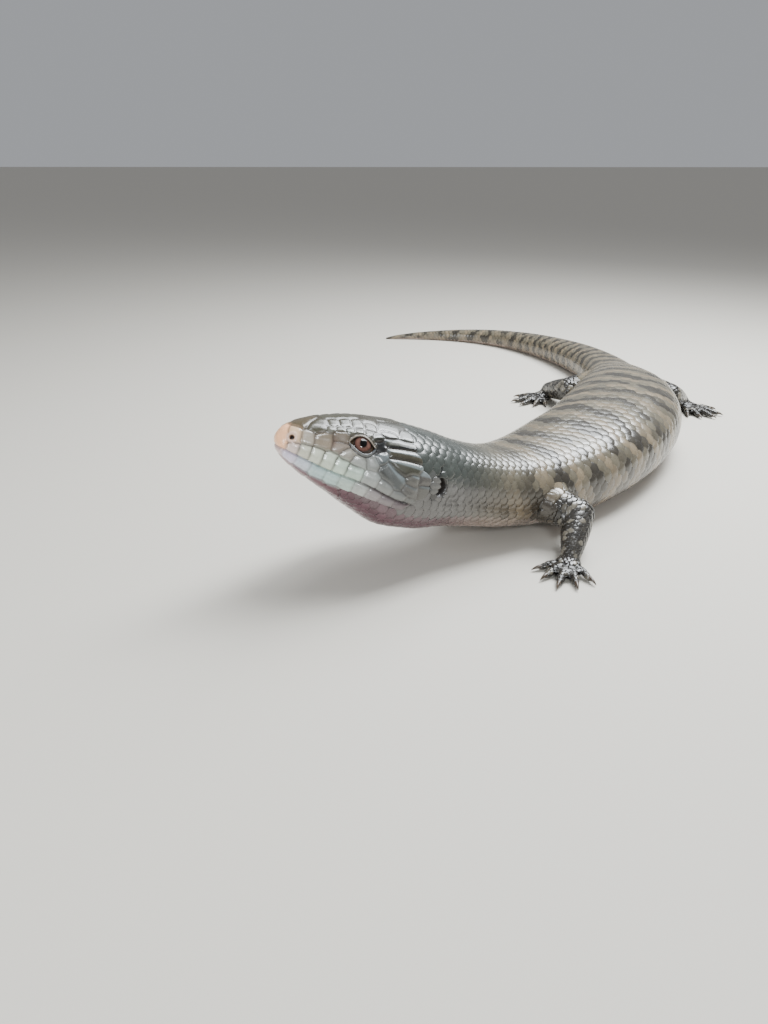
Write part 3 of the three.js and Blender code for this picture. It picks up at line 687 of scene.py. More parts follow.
head_quads = grid_quads(HEAD_RINGS, HEAD_COLUMNS)
head_tree = BVHTree.FromPolygons(head_points.reshape(-1, 3).tolist(), head_quads.tolist())
LID_RINGS = [lid_ring(sign, head_tree) for sign in (1, -1)]
for sign in (1, -1):
    eye = eye_place(sign)
    x, y, z = local(head_points, eye)
    by_eye = (z > 0) & (np.hypot(x, y) < 8)
    share = np.where(by_eye, lid_reach(x, y), 9)
    head_points -= eye[3] * (2.2 * ease((0.62 - share) / 0.2))[..., None]

# Body form
# Behind the head the skin runs on over the neck, trunk and tail, and out over the legs and toes, with a
# fillet at each root. It is grown from the same lofts as the solids and joined into one sheet.
LEG_DEPTH = 0.35
FORELEG = {
    "at": 105, "lead": 6, "swell": 1.1, "points": 24, "palm": (9.0, 5.2, 2.9),
    "joints": [(1, 10, 17, 8.0), (-7, 30.5, 13.5, 6.3), (6, 38.5, 5.2, 4.2)],  # ahead, out, high, radius
    # each digit's turn, length and radius
    "digits": [(-50, 5.4, 1.5), (-22, 7.6, 1.6), (2, 8.8, 1.65), (25, 8.4, 1.6), (52, 6.2, 1.5)],
}
HINDLEG = {
    "at": 284, "lead": -7, "swell": 1.08, "points": 46, "palm": (11.5, 5.5, 3.0),
    "joints": [(-2, 6, 13.5, 9.4), (11, 28, 12.0, 7.0), (-5, 37.5, 5.6, 4.6)],
    "digits": [(-50, 5.6, 1.6), (-26, 8.4, 1.7), (-5, 11.0, 1.75), (16, 12.0, 1.7), (48, 8.0, 1.6)],
}
FORM_GRAIN = 0.7  # how finely the lofts are joined
FORM_KEPT = 0.125  # the share of that skin's triangles that is kept
SKIN_OFF_FLOOR = 0.15  # so that the belly's scales, not the skin between them, lie on the floor


def closed_tube(rings):
    """Points and faces of a tube through rings of points, closed by a fan at each end."""
    count, sides, _ = rings.shape
    points = np.concatenate([rings.reshape(-1, 3), rings[[0, -1]].mean(axis=1)])
    quads = grid_quads(count, sides)[:, [0, 3, 2, 1]]
    j = np.arange(sides)
    k = (j + 1) % sides
    ends = (count - 1) * sides
    fans = np.concatenate([
        np.stack([k, j, np.full(sides, count * sides)], axis=-1),
        np.stack([ends + j, ends + k, np.full(sides, count * sides + 1)], axis=-1),
    ])
    return points, quads, fans


def round_rings(centres, radii, sides, along=None):
    """Rings of points round a line of centres, pressed flat on the floor."""
    if along is None:
        along = unit(np.gradient(centres, axis=0))
    across = unit(np.cross(along, UP))
    upward = np.cross(across, along)
    turn = np.linspace(0, 2 * math.pi, sides, endpoint=False)
    out = across[:, None] * np.sin(turn)[None, :, None] + upward[:, None] * np.cos(turn)[None, :, None]
    rings = centres[:, None] + out * np.asarray(radii)[:, None, None]
    rings[..., 2] = np.maximum(rings[..., 2], 0)
    return rings


def flesh_rings(start, end, start_radius, end_radius, swell):
    """One limb bone's flesh, with a round end at each joint."""
    length = np.linalg.norm(end - start)
    along = (end - start) / length
    cap = np.linspace(0.08, 1, 6) * math.pi / 2
    t = np.linspace(0, 1, 12)
    middle = (start_radius + (end_radius - start_radius) * t) * (1 + (swell - 1) * np.sin(math.pi * t))
    before, after = -start_radius * np.cos(cap), length + end_radius * np.cos(cap[::-1])
    run = np.concatenate([before, length * t[1:-1], after])
    radii = np.concatenate([start_radius * np.sin(cap), middle[1:-1], end_radius * np.sin(cap[::-1])])
    return round_rings(start + run[:, None] * along, radii, 24, np.repeat(along[None], len(run), axis=0))


def leg_plan(leg, sign):
    """Where a leg's joints, palm, toes and claws are."""
    point, tailward, left, _ = body_frame(leg["at"])
    back = unit(tailward * [1, 1, 0])
    joints = []
    for i, (ahead, out, high, radius) in enumerate(leg["joints"]):
        lead = leg["lead"] * i / 2 if sign < 0 else 0
        joint = point - back * (ahead + lead) + left * sign * out
        joint[2] = high
        joints.append(joint)

    def turned(degrees):
        return -back * math.cos(math.radians(degrees)) + left * sign * math.sin(math.radians(degrees))

    length, half_wide, half_high = leg["palm"]
    pointing, across = turned(leg["points"]), turned(leg["points"] + 90)
    ankle = joints[2]
    palm = ankle + pointing * length * 0.5
    palm[2] = half_high * 0.8
    toes = []
    for i, (turn, toe_length, radius) in enumerate(leg["digits"]):
        way = turned(leg["points"] + turn)
        root = ankle + pointing * (length * 0.86 - abs(i - 2) * 1.1) + across * (i - 2) * half_wide * 0.36
        shares = np.array([0, 0.4, 0.75, 1])
        line = root + way * ((toe_length + 1.5) * shares)[:, None]
        line[:, 2] = [radius + 0.5, radius + 0.7, radius, radius * 0.8]
        toes.append({"line": line, "way": way, "radius": radius})
    return {"joints": joints, "palm": palm, "pointing": pointing, "across": across, "toes": toes}


PLANS = [(leg, leg_plan(leg, sign)) for leg in (FORELEG, HINDLEG) for sign in (1, -1)]


def toe_rings(toe):
    line = smooth_line(toe["line"], 14)
    t = np.linspace(0, 1, 14)
    knuckles = 1 + 0.05 * np.cos(t * math.pi * 6)
    taper = np.interp(t, [0, 0.33, 0.66, 1], [1.15, 1, 0.95, 0.72])
    radii = (toe["radius"] - LEG_DEPTH * 0.4) * taper * knuckles
    tip = line[-1] + toe["way"] * np.array([0.3, 0.55, 0.68])[:, None] * radii[-1]
    line = np.concatenate([line, tip])
    radii = np.concatenate([radii, radii[-1] * np.array([0.92, 0.66, 0.25])])
    return round_rings(line, radii, 14)


def palm_rings(leg, plan):
    length, half_wide, half_high = leg["palm"]
    turn = np.linspace(0.05, math.pi - 0.05, 12)
    side = np.linspace(0, 2 * math.pi, 24, endpoint=False)
    turn, side = turn[:, None, None], side[None, :, None]
    along = -np.cos(turn) * plan["pointing"] * (length * 0.62 - LEG_DEPTH)
    wide = np.sin(turn) * np.sin(side) * plan["across"] * (half_wide - LEG_DEPTH)
    high = np.sin(turn) * np.cos(side) * UP * (half_high - LEG_DEPTH)
    rings = plan["palm"] + along + wide + high
    rings[..., 2] = np.maximum(rings[..., 2], 0)
    return rings


def skin_depth(s):
    """How far the skin lies below the scales' outer surface: less on the thin end of the tail."""
    return TRUNK_DEPTH * np.interp(s, [400, 540], [1, 0.6])


def body_lofts():
    """Every loft that the body's skin is joined from."""
    s = np.linspace(HEAD_END - 6, TOTAL_LENGTH - 0.4, 330)[:, None]
    yield body_point(s, np.linspace(0, 2 * math.pi, 110, endpoint=False)[None], skin_depth(s))
    for leg, plan in PLANS:
        hip, knee, ankle = plan["joints"]
        hip_radius, knee_radius, ankle_radius = (joint[3] - LEG_DEPTH for joint in leg["joints"])
        yield flesh_rings(hip, knee, hip_radius, knee_radius, leg["swell"])
        yield flesh_rings(knee, ankle, knee_radius * 0.96, ankle_radius, leg["swell"])
        yield flesh_rings(ankle, plan["palm"], ankle_radius, leg["palm"][2] * 0.9 - LEG_DEPTH, 1)
        yield palm_rings(leg, plan)
        yield from map(toe_rings, plan["toes"])


def gathered(parts):
    """The points and faces of many parts as those of one."""
    points, faces, filled = [], [], 0
    for part_points, *part_faces in parts:
        points.append(part_points)
        faces += [part + filled for part in part_faces]
        filled += len(part_points)
    return np.concatenate(points), faces


def mesh_arrays(mesh):
    points = np.empty(len(mesh.vertices) * 3, np.float32)
    mesh.vertices.foreach_get("co", points)
    mesh.calc_loop_triangles()
    corners = np.empty(len(mesh.loop_triangles) * 3, np.int32)
    mesh.loop_triangles.foreach_get("vertices", corners)
    return points.reshape(-1, 3).astype(float), corners.reshape(-1, 3)


def applied(mesh, kind, **settings):
    """The mesh after one modifier, in a plain mesh of its own."""
    holder = bpy.data.objects.new("holder", mesh)
    bpy.context.scene.collection.objects.link(holder)
    modifier = holder.modifiers.new("change", kind)
    for key, value in settings.items():
        setattr(modifier, key, value)
    graph = bpy.context.evaluated_depsgraph_get()
    made = bpy.data.meshes.new_from_object(holder.evaluated_get(graph))
    bpy.data.objects.remove(holder)
    return made


def edges_of(triangles):
    return np.concatenate([triangles[:, [0, 1]], triangles[:, [1, 2]], triangles[:, [2, 0]]])


def relaxed(points, triangles, weight, rounds):
    """Points drawn towards the middle of their neighbours, each by its own weight."""
    here, there = edges_of(triangles).T
    count = np.maximum(np.bincount(here, minlength=len(points)).astype(float), 1)
    for _ in range(rounds):
        beside = (points[there, axis] for axis in range(3))
        pulled = np.stack([np.bincount(here, v, minlength=len(points)) / count for v in beside], axis=-1)
        points = points + (pulled - points) * weight[:, None]
    return points


def body_place(points):
    """Where points lie: how far from the snout, at what angle round, and how far outside the body."""
    s = nearest_of(SPINE * [1, 1, 0], points * [1, 1, 0]) * SPINE_STEP
    for _ in range(2):
        middle, tailward, _, _ = body_frame(s)
        s = np.clip(s + dot(points - middle, tailward), 0, TOTAL_LENGTH)
    middle, _, left, up = body_frame(s)
    apart = points - middle
    side, rise = dot(apart, left), dot(apart, up)
    wide = np.abs(side) / girth(s, HALF_WIDTH)
    tall = np.abs(rise) / np.where(rise > 0, girth(s, ABOVE), girth(s, BELOW))
    half = ROUNDNESS / 2
    phi = np.arctan2(np.sign(side) * wide**half, np.sign(rise) * tall**half)
    return s, phi, norm(apart) - norm(body_point(s, phi) - middle)


form = new_mesh("form", *gathered(closed_tube(rings) for rings in body_lofts()))
form = applied(form, "REMESH", mode="VOXEL", voxel_size=FORM_GRAIN)
fine_points, fine_triangles = mesh_arrays(form)
fine_outside = body_place(fine_points)[2]
at_root = np.zeros(len(fine_points))
for leg, plan in PLANS:
    hip, knee, _ = plan["joints"]
    apart = norm(fine_points - (hip + (knee - hip) * 0.62))
    at_root = np.maximum(at_root, 1 - ease((apart - 11) / 8))
fine_points = relaxed(fine_points, fine_triangles, np.full(len(fine_points), 0.5), 4)
root_weight = 0.5 * at_root * np.exp(-((fine_outside / 5) ** 2))
fine_points = relaxed(fine_points, fine_triangles, root_weight, 30)
fine_points[:, 2] = np.maximum(fine_points[:, 2], SKIN_OFF_FLOOR)
SKIN_TREE = BVHTree.FromPolygons(fine_points.tolist(), fine_triangles.tolist())
form.vertices.foreach_set("co", fine_points.astype(np.float32).ravel())
form = applied(form, "DECIMATE", ratio=FORM_KEPT)
cut = bmesh.new()
cut.from_mesh(form)
seam, tailward, _, _ = body_frame(HEAD_END + 0.8)
everything = cut.verts[:] + cut.edges[:] + cut.faces[:]
bmesh.ops.bisect_plane(cut, geom=everything, plane_co=seam, plane_no=tailward, clear_inner=True)
for vertex in [v for v in cut.verts if not v.link_faces]:
    cut.verts.remove(vertex)
bmesh.ops.triangulate(cut, faces=cut.faces[:])
cut.to_mesh(form)
cut.free()
back_points, back_triangles = mesh_arrays(form)


def open_rim(triangles):
    """The points of a sheet's open edge."""
    edges = edges_of(triangles)
    _, first, count = np.unique(np.sort(edges, axis=1), axis=0, return_index=True, return_counts=True)
    return np.unique(edges[first[count == 1]])


def ring_in_order(ring):
    """A ring of the skin's points by their angle round the neck, with its first point again at its end."""
    middle, _, left, up = body_frame(HEAD_END + 0.4)
    apart = skin_points[ring] - middle
    angle = np.arctan2(dot(apart, left), dot(apart, up))
    order = np.argsort(angle)
    order = np.append(order, order[0])
    angle = angle[order]
    angle[-1] += 2 * math.pi
    return ring[order], angle


def laced(front, rear):
    """Triangles between two rings of points, laced in the order of their angles."""
    front, front_angle = ring_in_order(front)
    rear, rear_angle = ring_in_order(rear)
    made = []
    i = j = 0
    while i < len(front) - 1 or j < len(rear) - 1:
        front_left, rear_left = i < len(front) - 1, j < len(rear) - 1
        if not rear_left or (front_left and front_angle[i + 1] <= rear_angle[j + 1]):
            made.append((front[i], rear[j], front[i + 1]))
            i += 1
        else:
            made.append((front[i], rear[j], rear[j + 1]))
            j += 1
    return np.array(made)


# One skin
# Head and body are laced together into one sheet of skin that stands for every node of flesh. It is
# keratin over pigmented skin: satin, with a wet gloss on the raised plates.
head_count = HEAD_RINGS * HEAD_COLUMNS
skin_points = np.concatenate([head_points.reshape(-1, 3), head_points[0].mean(axis=0)[None], back_points])
column = np.arange(HEAD_COLUMNS)
tip_fan = np.stack([column, (column + 1) % HEAD_COLUMNS, np.full(HEAD_COLUMNS, head_count)], axis=-1)
front_rim = (HEAD_RINGS - 1) * HEAD_COLUMNS + column
rear_rim = open_rim(back_triangles) + head_count + 1
skin_faces = [head_quads, tip_fan, laced(front_rim, rear_rim), back_triangles + head_count + 1]
skin = add_piece("skin", skin_points, skin_faces, "body_skin")
repair = bmesh.new()
repair.from_mesh(skin.data)
bmesh.ops.recalc_face_normals(repair, faces=repair.faces[:])
repair.to_mesh(skin.data)
repair.free()
FLESH = ["head", "neck", "chest", "abdomen", "hips", "tail_base", "tail_middle", "tail_rear", "tail_tip"]
for side in ("left", "right"):
    FLESH += ["foreleg_" + side, "forefoot_" + side, "hindleg_" + side, "hindfoot_" + side]
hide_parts(*FLESH)


def mixed(a, b, share):
    return a + (b - a) * np.asarray(share)[..., None]


def wander(s, phi, size, seed):
    """A slow drift between -1 and 1 over the body, the same on each run."""
    turn = seed * 1.7
    first = np.sin(s / size + turn + 1.3 * np.sin(phi * 2 + turn))
    second = np.sin(s / (size * 0.62) - phi * 3 + 2.1 * turn)
    third = np.sin(s / (size * 1.7) + phi * 5 + 3.3 * turn)
    return (first + second + third) / 3


NAPE = hex_colour("#353935")
GREY_BACK = hex_colour("#5c5648")
PALE_BAND = hex_colour("#7a6c57")
DARK_BAR = hex_colour("#231f1a")
NECK_SIDE = hex_colour("#595755")
FLANK = hex_colour("#6c5f4f")
BELLY = hex_colour("#8f7f75")
# the throat's own mauve, darkened as painted shade under the jaw
THROAT_WITH_PAINTED_SHADE = hex_colour("#583d44")
LEG_DARK = hex_colour("#2a2723")
LEG_FLECK = hex_colour("#706a5e")
BAR_SPACING = 17.5
BARS_FROM = 78
# The skin between the scales is drawn darker: partly its own darker tone, partly painted shade under the
# scales.
PAINTED_SHADE_UNDER_SCALES = 0.35  # how dark the skin between the scales is beside them


def body_marking_and_throat_shade(s, phi):
    """The colour of a scale or of the skin under it, by its place on the body, darkened on the throat as
    painted shade.
    """
    round_degrees = np.degrees(np.abs(phi))
    nape = 1 - ease((s - 62) / 36)
    colour = mixed(GREY_BACK + 0 * s[..., None], NAPE, nape)
    colour = mixed(colour, NECK_SIDE, ease((round_degrees - 70) / 20) * nape)
    colour = mixed(colour, FLANK, ease((round_degrees - 72) / 24) * (1 - nape) * 0.7)
    drift = s + 4.5 * wander(s, phi, 21, 1) + 2.2 * wander(s, phi * 2.3, 8, 7) + 3 * np.cos(phi)
    period = BAR_SPACING * (1 - 0.2 * ease((s - BODY_LENGTH) / 150))
    wave = np.abs((drift / period) % 1 - 0.5) * 2
    broad = 0.3 + 0.13 * wander(s, phi * 1.7, 12, 4) + 0.1 * ease((round_degrees - 60) / 25)
    bar = 1 - ease((wave - broad) / 0.14)
    bar *= ease((wander(s * 1.3, phi * 3.1, 6, 9) + 0.75) / 0.4)
    pale = ease((wave - 0.62) / 0.25)
    flank = 1 - ease((round_degrees - 118) / 18)
    bars_on = ease((s - BARS_FROM) / 26) * flank
    colour = mixed(colour, PALE_BAND, 0.7 * pale * bars_on)
    colour = mixed(colour, DARK_BAR, 0.85 * bar * bars_on)
    under = ease((round_degrees - 112) / 18)
    colour = mixed(colour, mixed(THROAT_WITH_PAINTED_SHADE + 0 * colour, BELLY, ease((s - 58) / 30)), under)
    belly_bar = 0.3 * bar * under * ease((s - BARS_FROM) / 20) * (s < BODY_LENGTH + 250)
    return mixed(colour, DARK_BAR, belly_bar)


def set_colour_and_painted_light(piece, colours):
    """A colour at each point of a piece, painted light and shade included."""
    layer = piece.data.color_attributes.new("colour_and_painted_light", "FLOAT_COLOR", "POINT")
    rgba = np.concatenate([np.clip(colours, 0, 1), np.ones((len(colours), 1))], axis=1)
    layer.data.foreach_set("color", rgba.astype(np.float32).ravel())


# Head colours
# Olive grey above, warm peach on the snout, pale grey green on the lips, and mauve under the jaw, with
# dark lines in the sutures and a dark streak behind the eye. Light and shade are painted in as well: a
# painted highlight and painted shade on the temple ridges, and painted shade in the nostrils and ear pits.
def painted(colour, coats):
    """A colour with others laid over it one after another, each by its own share."""
    for code, share in coats:
        colour = mixed(colour, hex_colour(code), share)
    return colour


def head_marking_and_painted_light():
    s, degrees, above = S_GRID, ROUND_DEGREES, ABOVE_MOUTH
    colour = mixed(PLATE_COLOURS[SHIELD], PLATE_COLOURS[NEXT_SHIELD], 0.5 * np.exp(-((SUTURE / 0.55) ** 2)))
    # On the temples each plate is painted pale blue grey along its upper edge as a painted highlight, and
    # dark along its lower edge as painted shade under the ridge.
    across = (SHIELD_DOWN, NEXT_DOWN)
    own, beside_it = (0.6 * ease((-y - 0.25) / 0.3) - 0.55 * ease((y - 0.45) / 0.3) for y in across)
    ridge_painted_light_and_shade = temple * (own + (beside_it - own) * NEXT_SHARE)
    smudge = np.exp(-(((s - 15.6) / 0.8) ** 2) - ((degrees - 67) / 9) ** 2)
    streak_line = np.interp(s, [31, 36, 40.5, 44], [56, 53, 49.5, 49])
    off_streak = (degrees - streak_line) * (np.radians(1) * girth(s, HALF_WIDTH))
    streak = np.exp(-((off_streak / 0.55) ** 2)) * ease((s - 30) / 1.5) * (1 - ease((s - 43) / 3))
    patch = np.exp(-(((s - 31.0) / 1.6) ** 4) - ((degrees - 57) / 10) ** 4)
    lip_top = np.interp(s, [2, 9, 13, 17, 22, 30, 37, 43], [88, 82, 84, 87, 89, 90, 94, 98])
    on_lip = ease((degrees - lip_top + 1) / 3) * (above > 0)
    lip_depth = np.clip((degrees - lip_top) / np.maximum(107 - lip_top, 1), 0, 1)
    face_lines = np.where(above > 0, 0.62 - 0.25 * ease((s - 24) / 6) * ease((degrees - 66) / 10), 0.3)
    face_lines = face_lines + on_lip * (0.35 - 0.5 * lip_depth) * (1 - 0.6 * ease((s - 21) / 4))
    line_wide = SUTURE_WIDE + 0.13 * (above > 0) * (1 - ease((s - 22) / 6))
    line_on = np.exp(-((SUTURE / line_wide) ** 2)) * in_shields
    colour = painted(colour, [
        # painted highlight and painted shade on the temple ridges
        ("#7d878a", np.maximum(ridge_painted_light_and_shade, 0)),
        ("#211f1a", np.maximum(-ridge_painted_light_and_shade, 0)),
        ("#6e5447", 0.6 * smudge),
        ("#040404", 0.95 * np.maximum(streak, patch)),
        ("#2c211b", np.clip(face_lines * line_on, 0, 0.9)),
        ("#2a1f1d", (0.3 + 0.6 * ease((s - 22) / 9)) * mouth_shut),
    ])
    # behind the shields the skin between the scales is darkened: its own tone with painted shade under the
    # scales
    colour = mixed(colour, body_marking_and_throat_shade(s, PHI_GRID) * PAINTED_SHADE_UNDER_SCALES, 1 - in_shields)
    return painted(colour, [
        ("#e0bfae", 0.8 * NOSTRIL_RING),
        # painted shade in the nostrils and the ear pits
        ("#2b1612", NOSTRIL_HOLE_SHADE),
        ("#2e2825", 0.85 * EAR_PIT_SHADE),
    ])


def leg_marking(points, spread):
    """Near black legs, flecked with pale scales."""
    x, y, z = points.T
    fleck = np.sin(x * 0.9 + 2.0 * np.sin(y * 0.5)) * np.sin(y * 0.8 + z)
    return mixed(LEG_DARK + 0 * points, LEG_FLECK, ease((fleck - 0.45 + spread) / 0.3) * 0.8)


back_s, back_phi, back_outside = body_place(back_points)
on_leg = ease((back_outside - 0.2) / 2.2)
# the skin between the body's and the legs' scales is darkened: its own tone with painted shade under the
# scales
back_colour = body_marking_and_throat_shade(back_s, back_phi) * PAINTED_SHADE_UNDER_SCALES
back_colour = mixed(back_colour, leg_marking(back_points, 0) * 0.5, on_leg)
head_colour = head_marking_and_painted_light().reshape(-1, 3)
tip_colour = head_colour[:HEAD_COLUMNS].mean(axis=0)
set_colour_and_painted_light(skin, np.concatenate([head_colour, tip_colour[None], back_colour]))


def add_node(tree, kind, inputs=None, **settings):
    """A node with its settings, and with its inputs set or linked."""
    node = tree.nodes.new("ShaderNode" + kind)
    for key, value in settings.items():
        setattr(node, key, value)
    for key, value in (inputs or {}).items():
        if isinstance(value, bpy.types.NodeSocket):
            tree.links.new(value, node.inputs[key])
        else:
            node.inputs[key].default_value = value
    return node


def new_material(name):
    material = bpy.data.materials.new(name)
    material.use_nodes = True
    material.node_tree.nodes.clear()
    return material, material.node_tree


def keratin_material(name, roughness, fine_bump, mottle):
    """Horn-faced skin, grown: pigment under a thin clear layer gives it a satin shine with a wet edge,
    and fine growth lines break it up."""
    material, tree = new_material(name)
    place = add_node(tree, "TexCoord").outputs["Object"]
    colour_and_painted_light = add_node(tree, "Attribute", attribute_name="colour_and_painted_light")
    # growth lines 0.7 mm apart, and blotches of 4 mm
    grain = add_node(tree, "TexNoise", {
        "Vector": place, "Scale": 1.4 / MM, "Detail": 4.0, "Roughness": 0.6,
    })
    blotch = add_node(tree, "TexNoise", {
        "Vector": place, "Scale": 0.26 / MM, "Detail": 3.0, "Roughness": 0.55,
    })
    shade, wash = (add_node(tree, "MapRange", {
        "Value": noise.outputs["Fac"], "From Min": 0.3, "From Max": 0.7,
        "To Min": 1 - mottle, "To Max": 1 + mottle,
    }) for noise in (grain, blotch))
    both = add_node(tree, "Math", {0: shade.outputs[0], 1: wash.outputs[0]}, operation="MULTIPLY")
    pigment = {0: colour_and_painted_light.outputs["Color"], "Scale": both.outputs[0]}
    colour = add_node(tree, "VectorMath", pigment, operation="SCALE")
    rough = add_node(tree, "MapRange", {
        "Value": blotch.outputs["Fac"], "From Min": 0.3, "From Max": 0.7,
        "To Min": roughness - 0.05, "To Max": roughness + 0.07,
    })
    bump = add_node(tree, "Bump", {
        "Height": grain.outputs["Fac"], "Strength": fine_bump, "Distance": 0.1 * MM,
    })
    shader = add_node(tree, "BsdfPrincipled", {
        "Base Color": colour.outputs[0], "Roughness": rough.outputs[0], "Normal": bump.outputs[0],
        "IOR": 1.54, "Coat Weight": 0.35, "Coat Roughness": 0.07,
    })
    add_node(tree, "OutputMaterial", {"Surface": shader.outputs[0]})
    return material


skin.data.materials.append(keratin_material("keratin_skin", 0.27, 0.2, 0.06))

# Skin unwrap
# For its bake the skin is opened along the belly, with the head given almost half of the sheet, and the
# legs lie as islands of their own.
HEAD_SHARE = 0.46
BODY_SHARE = 0.82
MARGIN = 0.006


def sheet_place(s, phi):
    """Where a place on the body lies on the unwrapped sheet."""
    u = MARGIN + (1 - 3 * MARGIN) * (phi + math.pi) / (2 * math.pi)
    v = np.interp(s, [0, HEAD_END, TOTAL_LENGTH], [MARGIN, HEAD_SHARE, BODY_SHARE])
    return np.stack([u, v], axis=-1)


def corner_points(mesh):
    """The point at each corner of a mesh's faces."""
    corners = np.empty(len(mesh.loops), np.int32)
    mesh.loops.foreach_get("vertex_index", corners)
    return corners


def unwrap_skin():
    """Lays the skin flat, and gives where the middle of each of its faces lies."""
    mesh = skin.data
    corners = corner_points(mesh)
    starts = np.empty(len(mesh.polygons), np.int32)
    totals = np.empty(len(mesh.polygons), np.int32)
    mesh.polygons.foreach_get("loop_start", starts)
    mesh.polygons.foreach_get("loop_total", totals)
    face_of = np.repeat(np.arange(len(totals)), totals)
    phi = np.concatenate([PHI_GRID.ravel(), [0], back_phi])
    s = np.concatenate([S_GRID.ravel(), [0], back_s])
    leg = np.concatenate([np.zeros(head_count + 1), on_leg])
    corner_phi = phi[corners]
    highest = np.maximum.reduceat(corner_phi, starts)[face_of]
    lowest = np.minimum.reduceat(corner_phi, starts)[face_of]
    wrapped = (highest - lowest > math.pi) & (corner_phi < 0)
    corner_phi = np.where(wrapped, corner_phi + 2 * math.pi, corner_phi)
    sheet = sheet_place(s[corners], corner_phi)
    leg_face = np.maximum.reduceat(leg[corners], starts) > 0.5
    mesh.polygons.foreach_set("select", leg_face)
    layer = mesh.uv_layers.new(name="OFBake")
    layer.data.foreach_set("uv", sheet.astype(np.float32).ravel())
    bpy.context.view_layer.objects.active = skin
    skin.select_set(True)
    bpy.ops.object.mode_set(mode="EDIT")
    bpy.ops.mesh.select_mode(type="FACE")
    bpy.ops.uv.smart_project(angle_limit=math.radians(60), island_margin=0.004)
    bpy.ops.object.mode_set(mode="OBJECT")
    packed = np.empty(len(corners) * 2, np.float32)
    mesh.uv_layers["OFBake"].data.foreach_get("uv", packed)
    packed = packed.reshape(-1, 2)
    on_island = leg_face[face_of]
    room = 1 - BODY_SHARE - 2 * MARGIN
    islands = packed[on_island]
    islands = (islands - islands.min(axis=0)) / np.maximum(islands.max(axis=0) - islands.min(axis=0), 1e-9)
    packed[on_island] = islands * [1 - 2 * MARGIN, room] + [MARGIN, BODY_SHARE + MARGIN]
    packed[~on_island] = sheet[~on_island]
    mesh.uv_layers["OFBake"].data.foreach_set("uv", packed.ravel())
    return np.add.reduceat(packed, starts) / totals[:, None]


sheet_centres = unwrap_skin()

# Body scales
# Behind the shields the body is tiled with overlapping plates of horn. Each is rounded at its free rear
# edge and sunk under the rows ahead of it at its root. They sit in lines along the body, set half a scale
# over in each row.
SCALE_LENGTH = 1.75  # from root to free edge, in scale spacings
PATCH = 0.0035  # how wide each scale's patch is on the unwrapped sheet
BLUNT = 2.25
# how dark the underside of each scale is drawn: painted shade
PAINTED_UNDERSIDE_SHADE = 0.35
SCALE_RUNS = [  # from and to, in millimetres from the snout, and how many lines of scales go round there
    (8, 100, 36), (97, 312, 32), (308, 352, 26), (348, 396, 22),
    (392, 440, 18), (436, 478, 14), (475, 508, 10), (505, 538, 8),
]
COAT_SPANS = [
    ("neck_scales", 0, 98), ("trunk_scales", 98, 196), ("loin_scales", 196, 300),
    ("tail_base_scales", 300, 400), ("tail_scales", 400, 545),
]
draw = np.random.default_rng(11)


def scale_plate(sides, shares):
    """One scale: its points across and along in half sizes, how far out, on which side, and its faces."""
    turn = np.arange(sides) / sides * 2 * math.pi
    across = np.sign(np.sin(turn)) * np.abs(np.sin(turn)) ** (2 / BLUNT)
    along = np.sign(np.cos(turn)) * np.abs(np.cos(turn)) ** (2 / BLUNT)
    places = [(0.0, 0.0, 0.0, 0)]
    for share in shares:
        places += [(x * share, y * share, share, 0) for x, y in zip(across, along)]
    places += [(x * 0.97, y * 0.97, 1.0, 1) for x, y in zip(across, along)]
    places += [(0.0, 0.0, 0.0, 1)]
    i = 1 + np.arange(sides)
    k = 1 + (i % sides)
    faces = [np.stack([np.zeros(sides, int), i, k], axis=-1)]
    for _ in shares:
        outer_i, outer_k = i + sides, k + sides
        faces += [np.stack([i, outer_i, outer_k], axis=-1), np.stack([i, outer_k, k], axis=-1)]
        i, k = outer_i, outer_k
    faces += [np.stack([k, i, np.full(sides, 1 + (len(shares) + 1) * sides)], axis=-1)]
    return np.array(places), np.concatenate(faces)


LARGE_PLATE = scale_plate(18, (0.5, 0.84, 1.0))
SMALL_PLATE = scale_plate(12, (0.62, 1.0))


def plate_along(along, length):
    """How far from its root each point of a scale lies."""
    return length * (0.55 + np.where(along > 0, 0.45, 0.55) * along)


def plate_rise(t, out, layer, spacing):
    """How high a scale's surface stands above the skin: t runs from its root to its free edge."""
    slope = -0.07 + 0.17 * t
    crown = 0.09 * (1 - out**2) - 0.012 * (out > 0.95)
    return spacing * (slope + crown - 0.055 * layer)


def scales_on_body(s0, phi0, spacing, half_wide):
    """Every point of scales whose roots are at given places of the body line."""
    across, along, out, layer = LARGE_PLATE[0].T
    s0, phi0, spacing, half_wide = (v[:, None] for v in (s0, phi0, spacing, half_wide))
    length = spacing * SCALE_LENGTH
    a = plate_along(along, length)
    b = half_wide * across * np.where(along < 0, 0.86, 1)
    t = a / length
    twist = draw.normal(0, 0.03, s0.shape)
    a, b = a - b * twist, b + (a - length / 2) * twist
    run = norm(body_point(s0 + 0.5, phi0) - body_point(s0 - 0.5, phi0))
    wrap = norm(body_point(s0, phi0 + 0.05) - body_point(s0, phi0 - 0.05)) / 0.1
    s = np.clip(s0 + a / run, 0.5, TOTAL_LENGTH - 0.05)
    phi = phi0 + b / wrap
    depth = skin_depth(s)
    point = body_point(s, phi, depth)
    ahead = body_point(s + 0.4, phi, depth) - body_point(s - 0.4, phi, depth)
    beside_it = body_point(s, phi + 0.03, depth) - body_point(s, phi - 0.03, depth)
    normal = unit(np.cross(beside_it, ahead))
    normal *= np.sign(dot(normal, point - body_frame(s)[0]))[..., None]
    rise = plate_rise(t, out, layer, spacing) + draw.normal(0, 0.02, s0.shape)
    made = point + normal * rise[..., None]
    pressed = 0.06 * (1 - t) + 0.03 * layer  # flat on the floor, each on the next one's root
    made[..., 2] = np.maximum(made[..., 2], pressed)
    return made


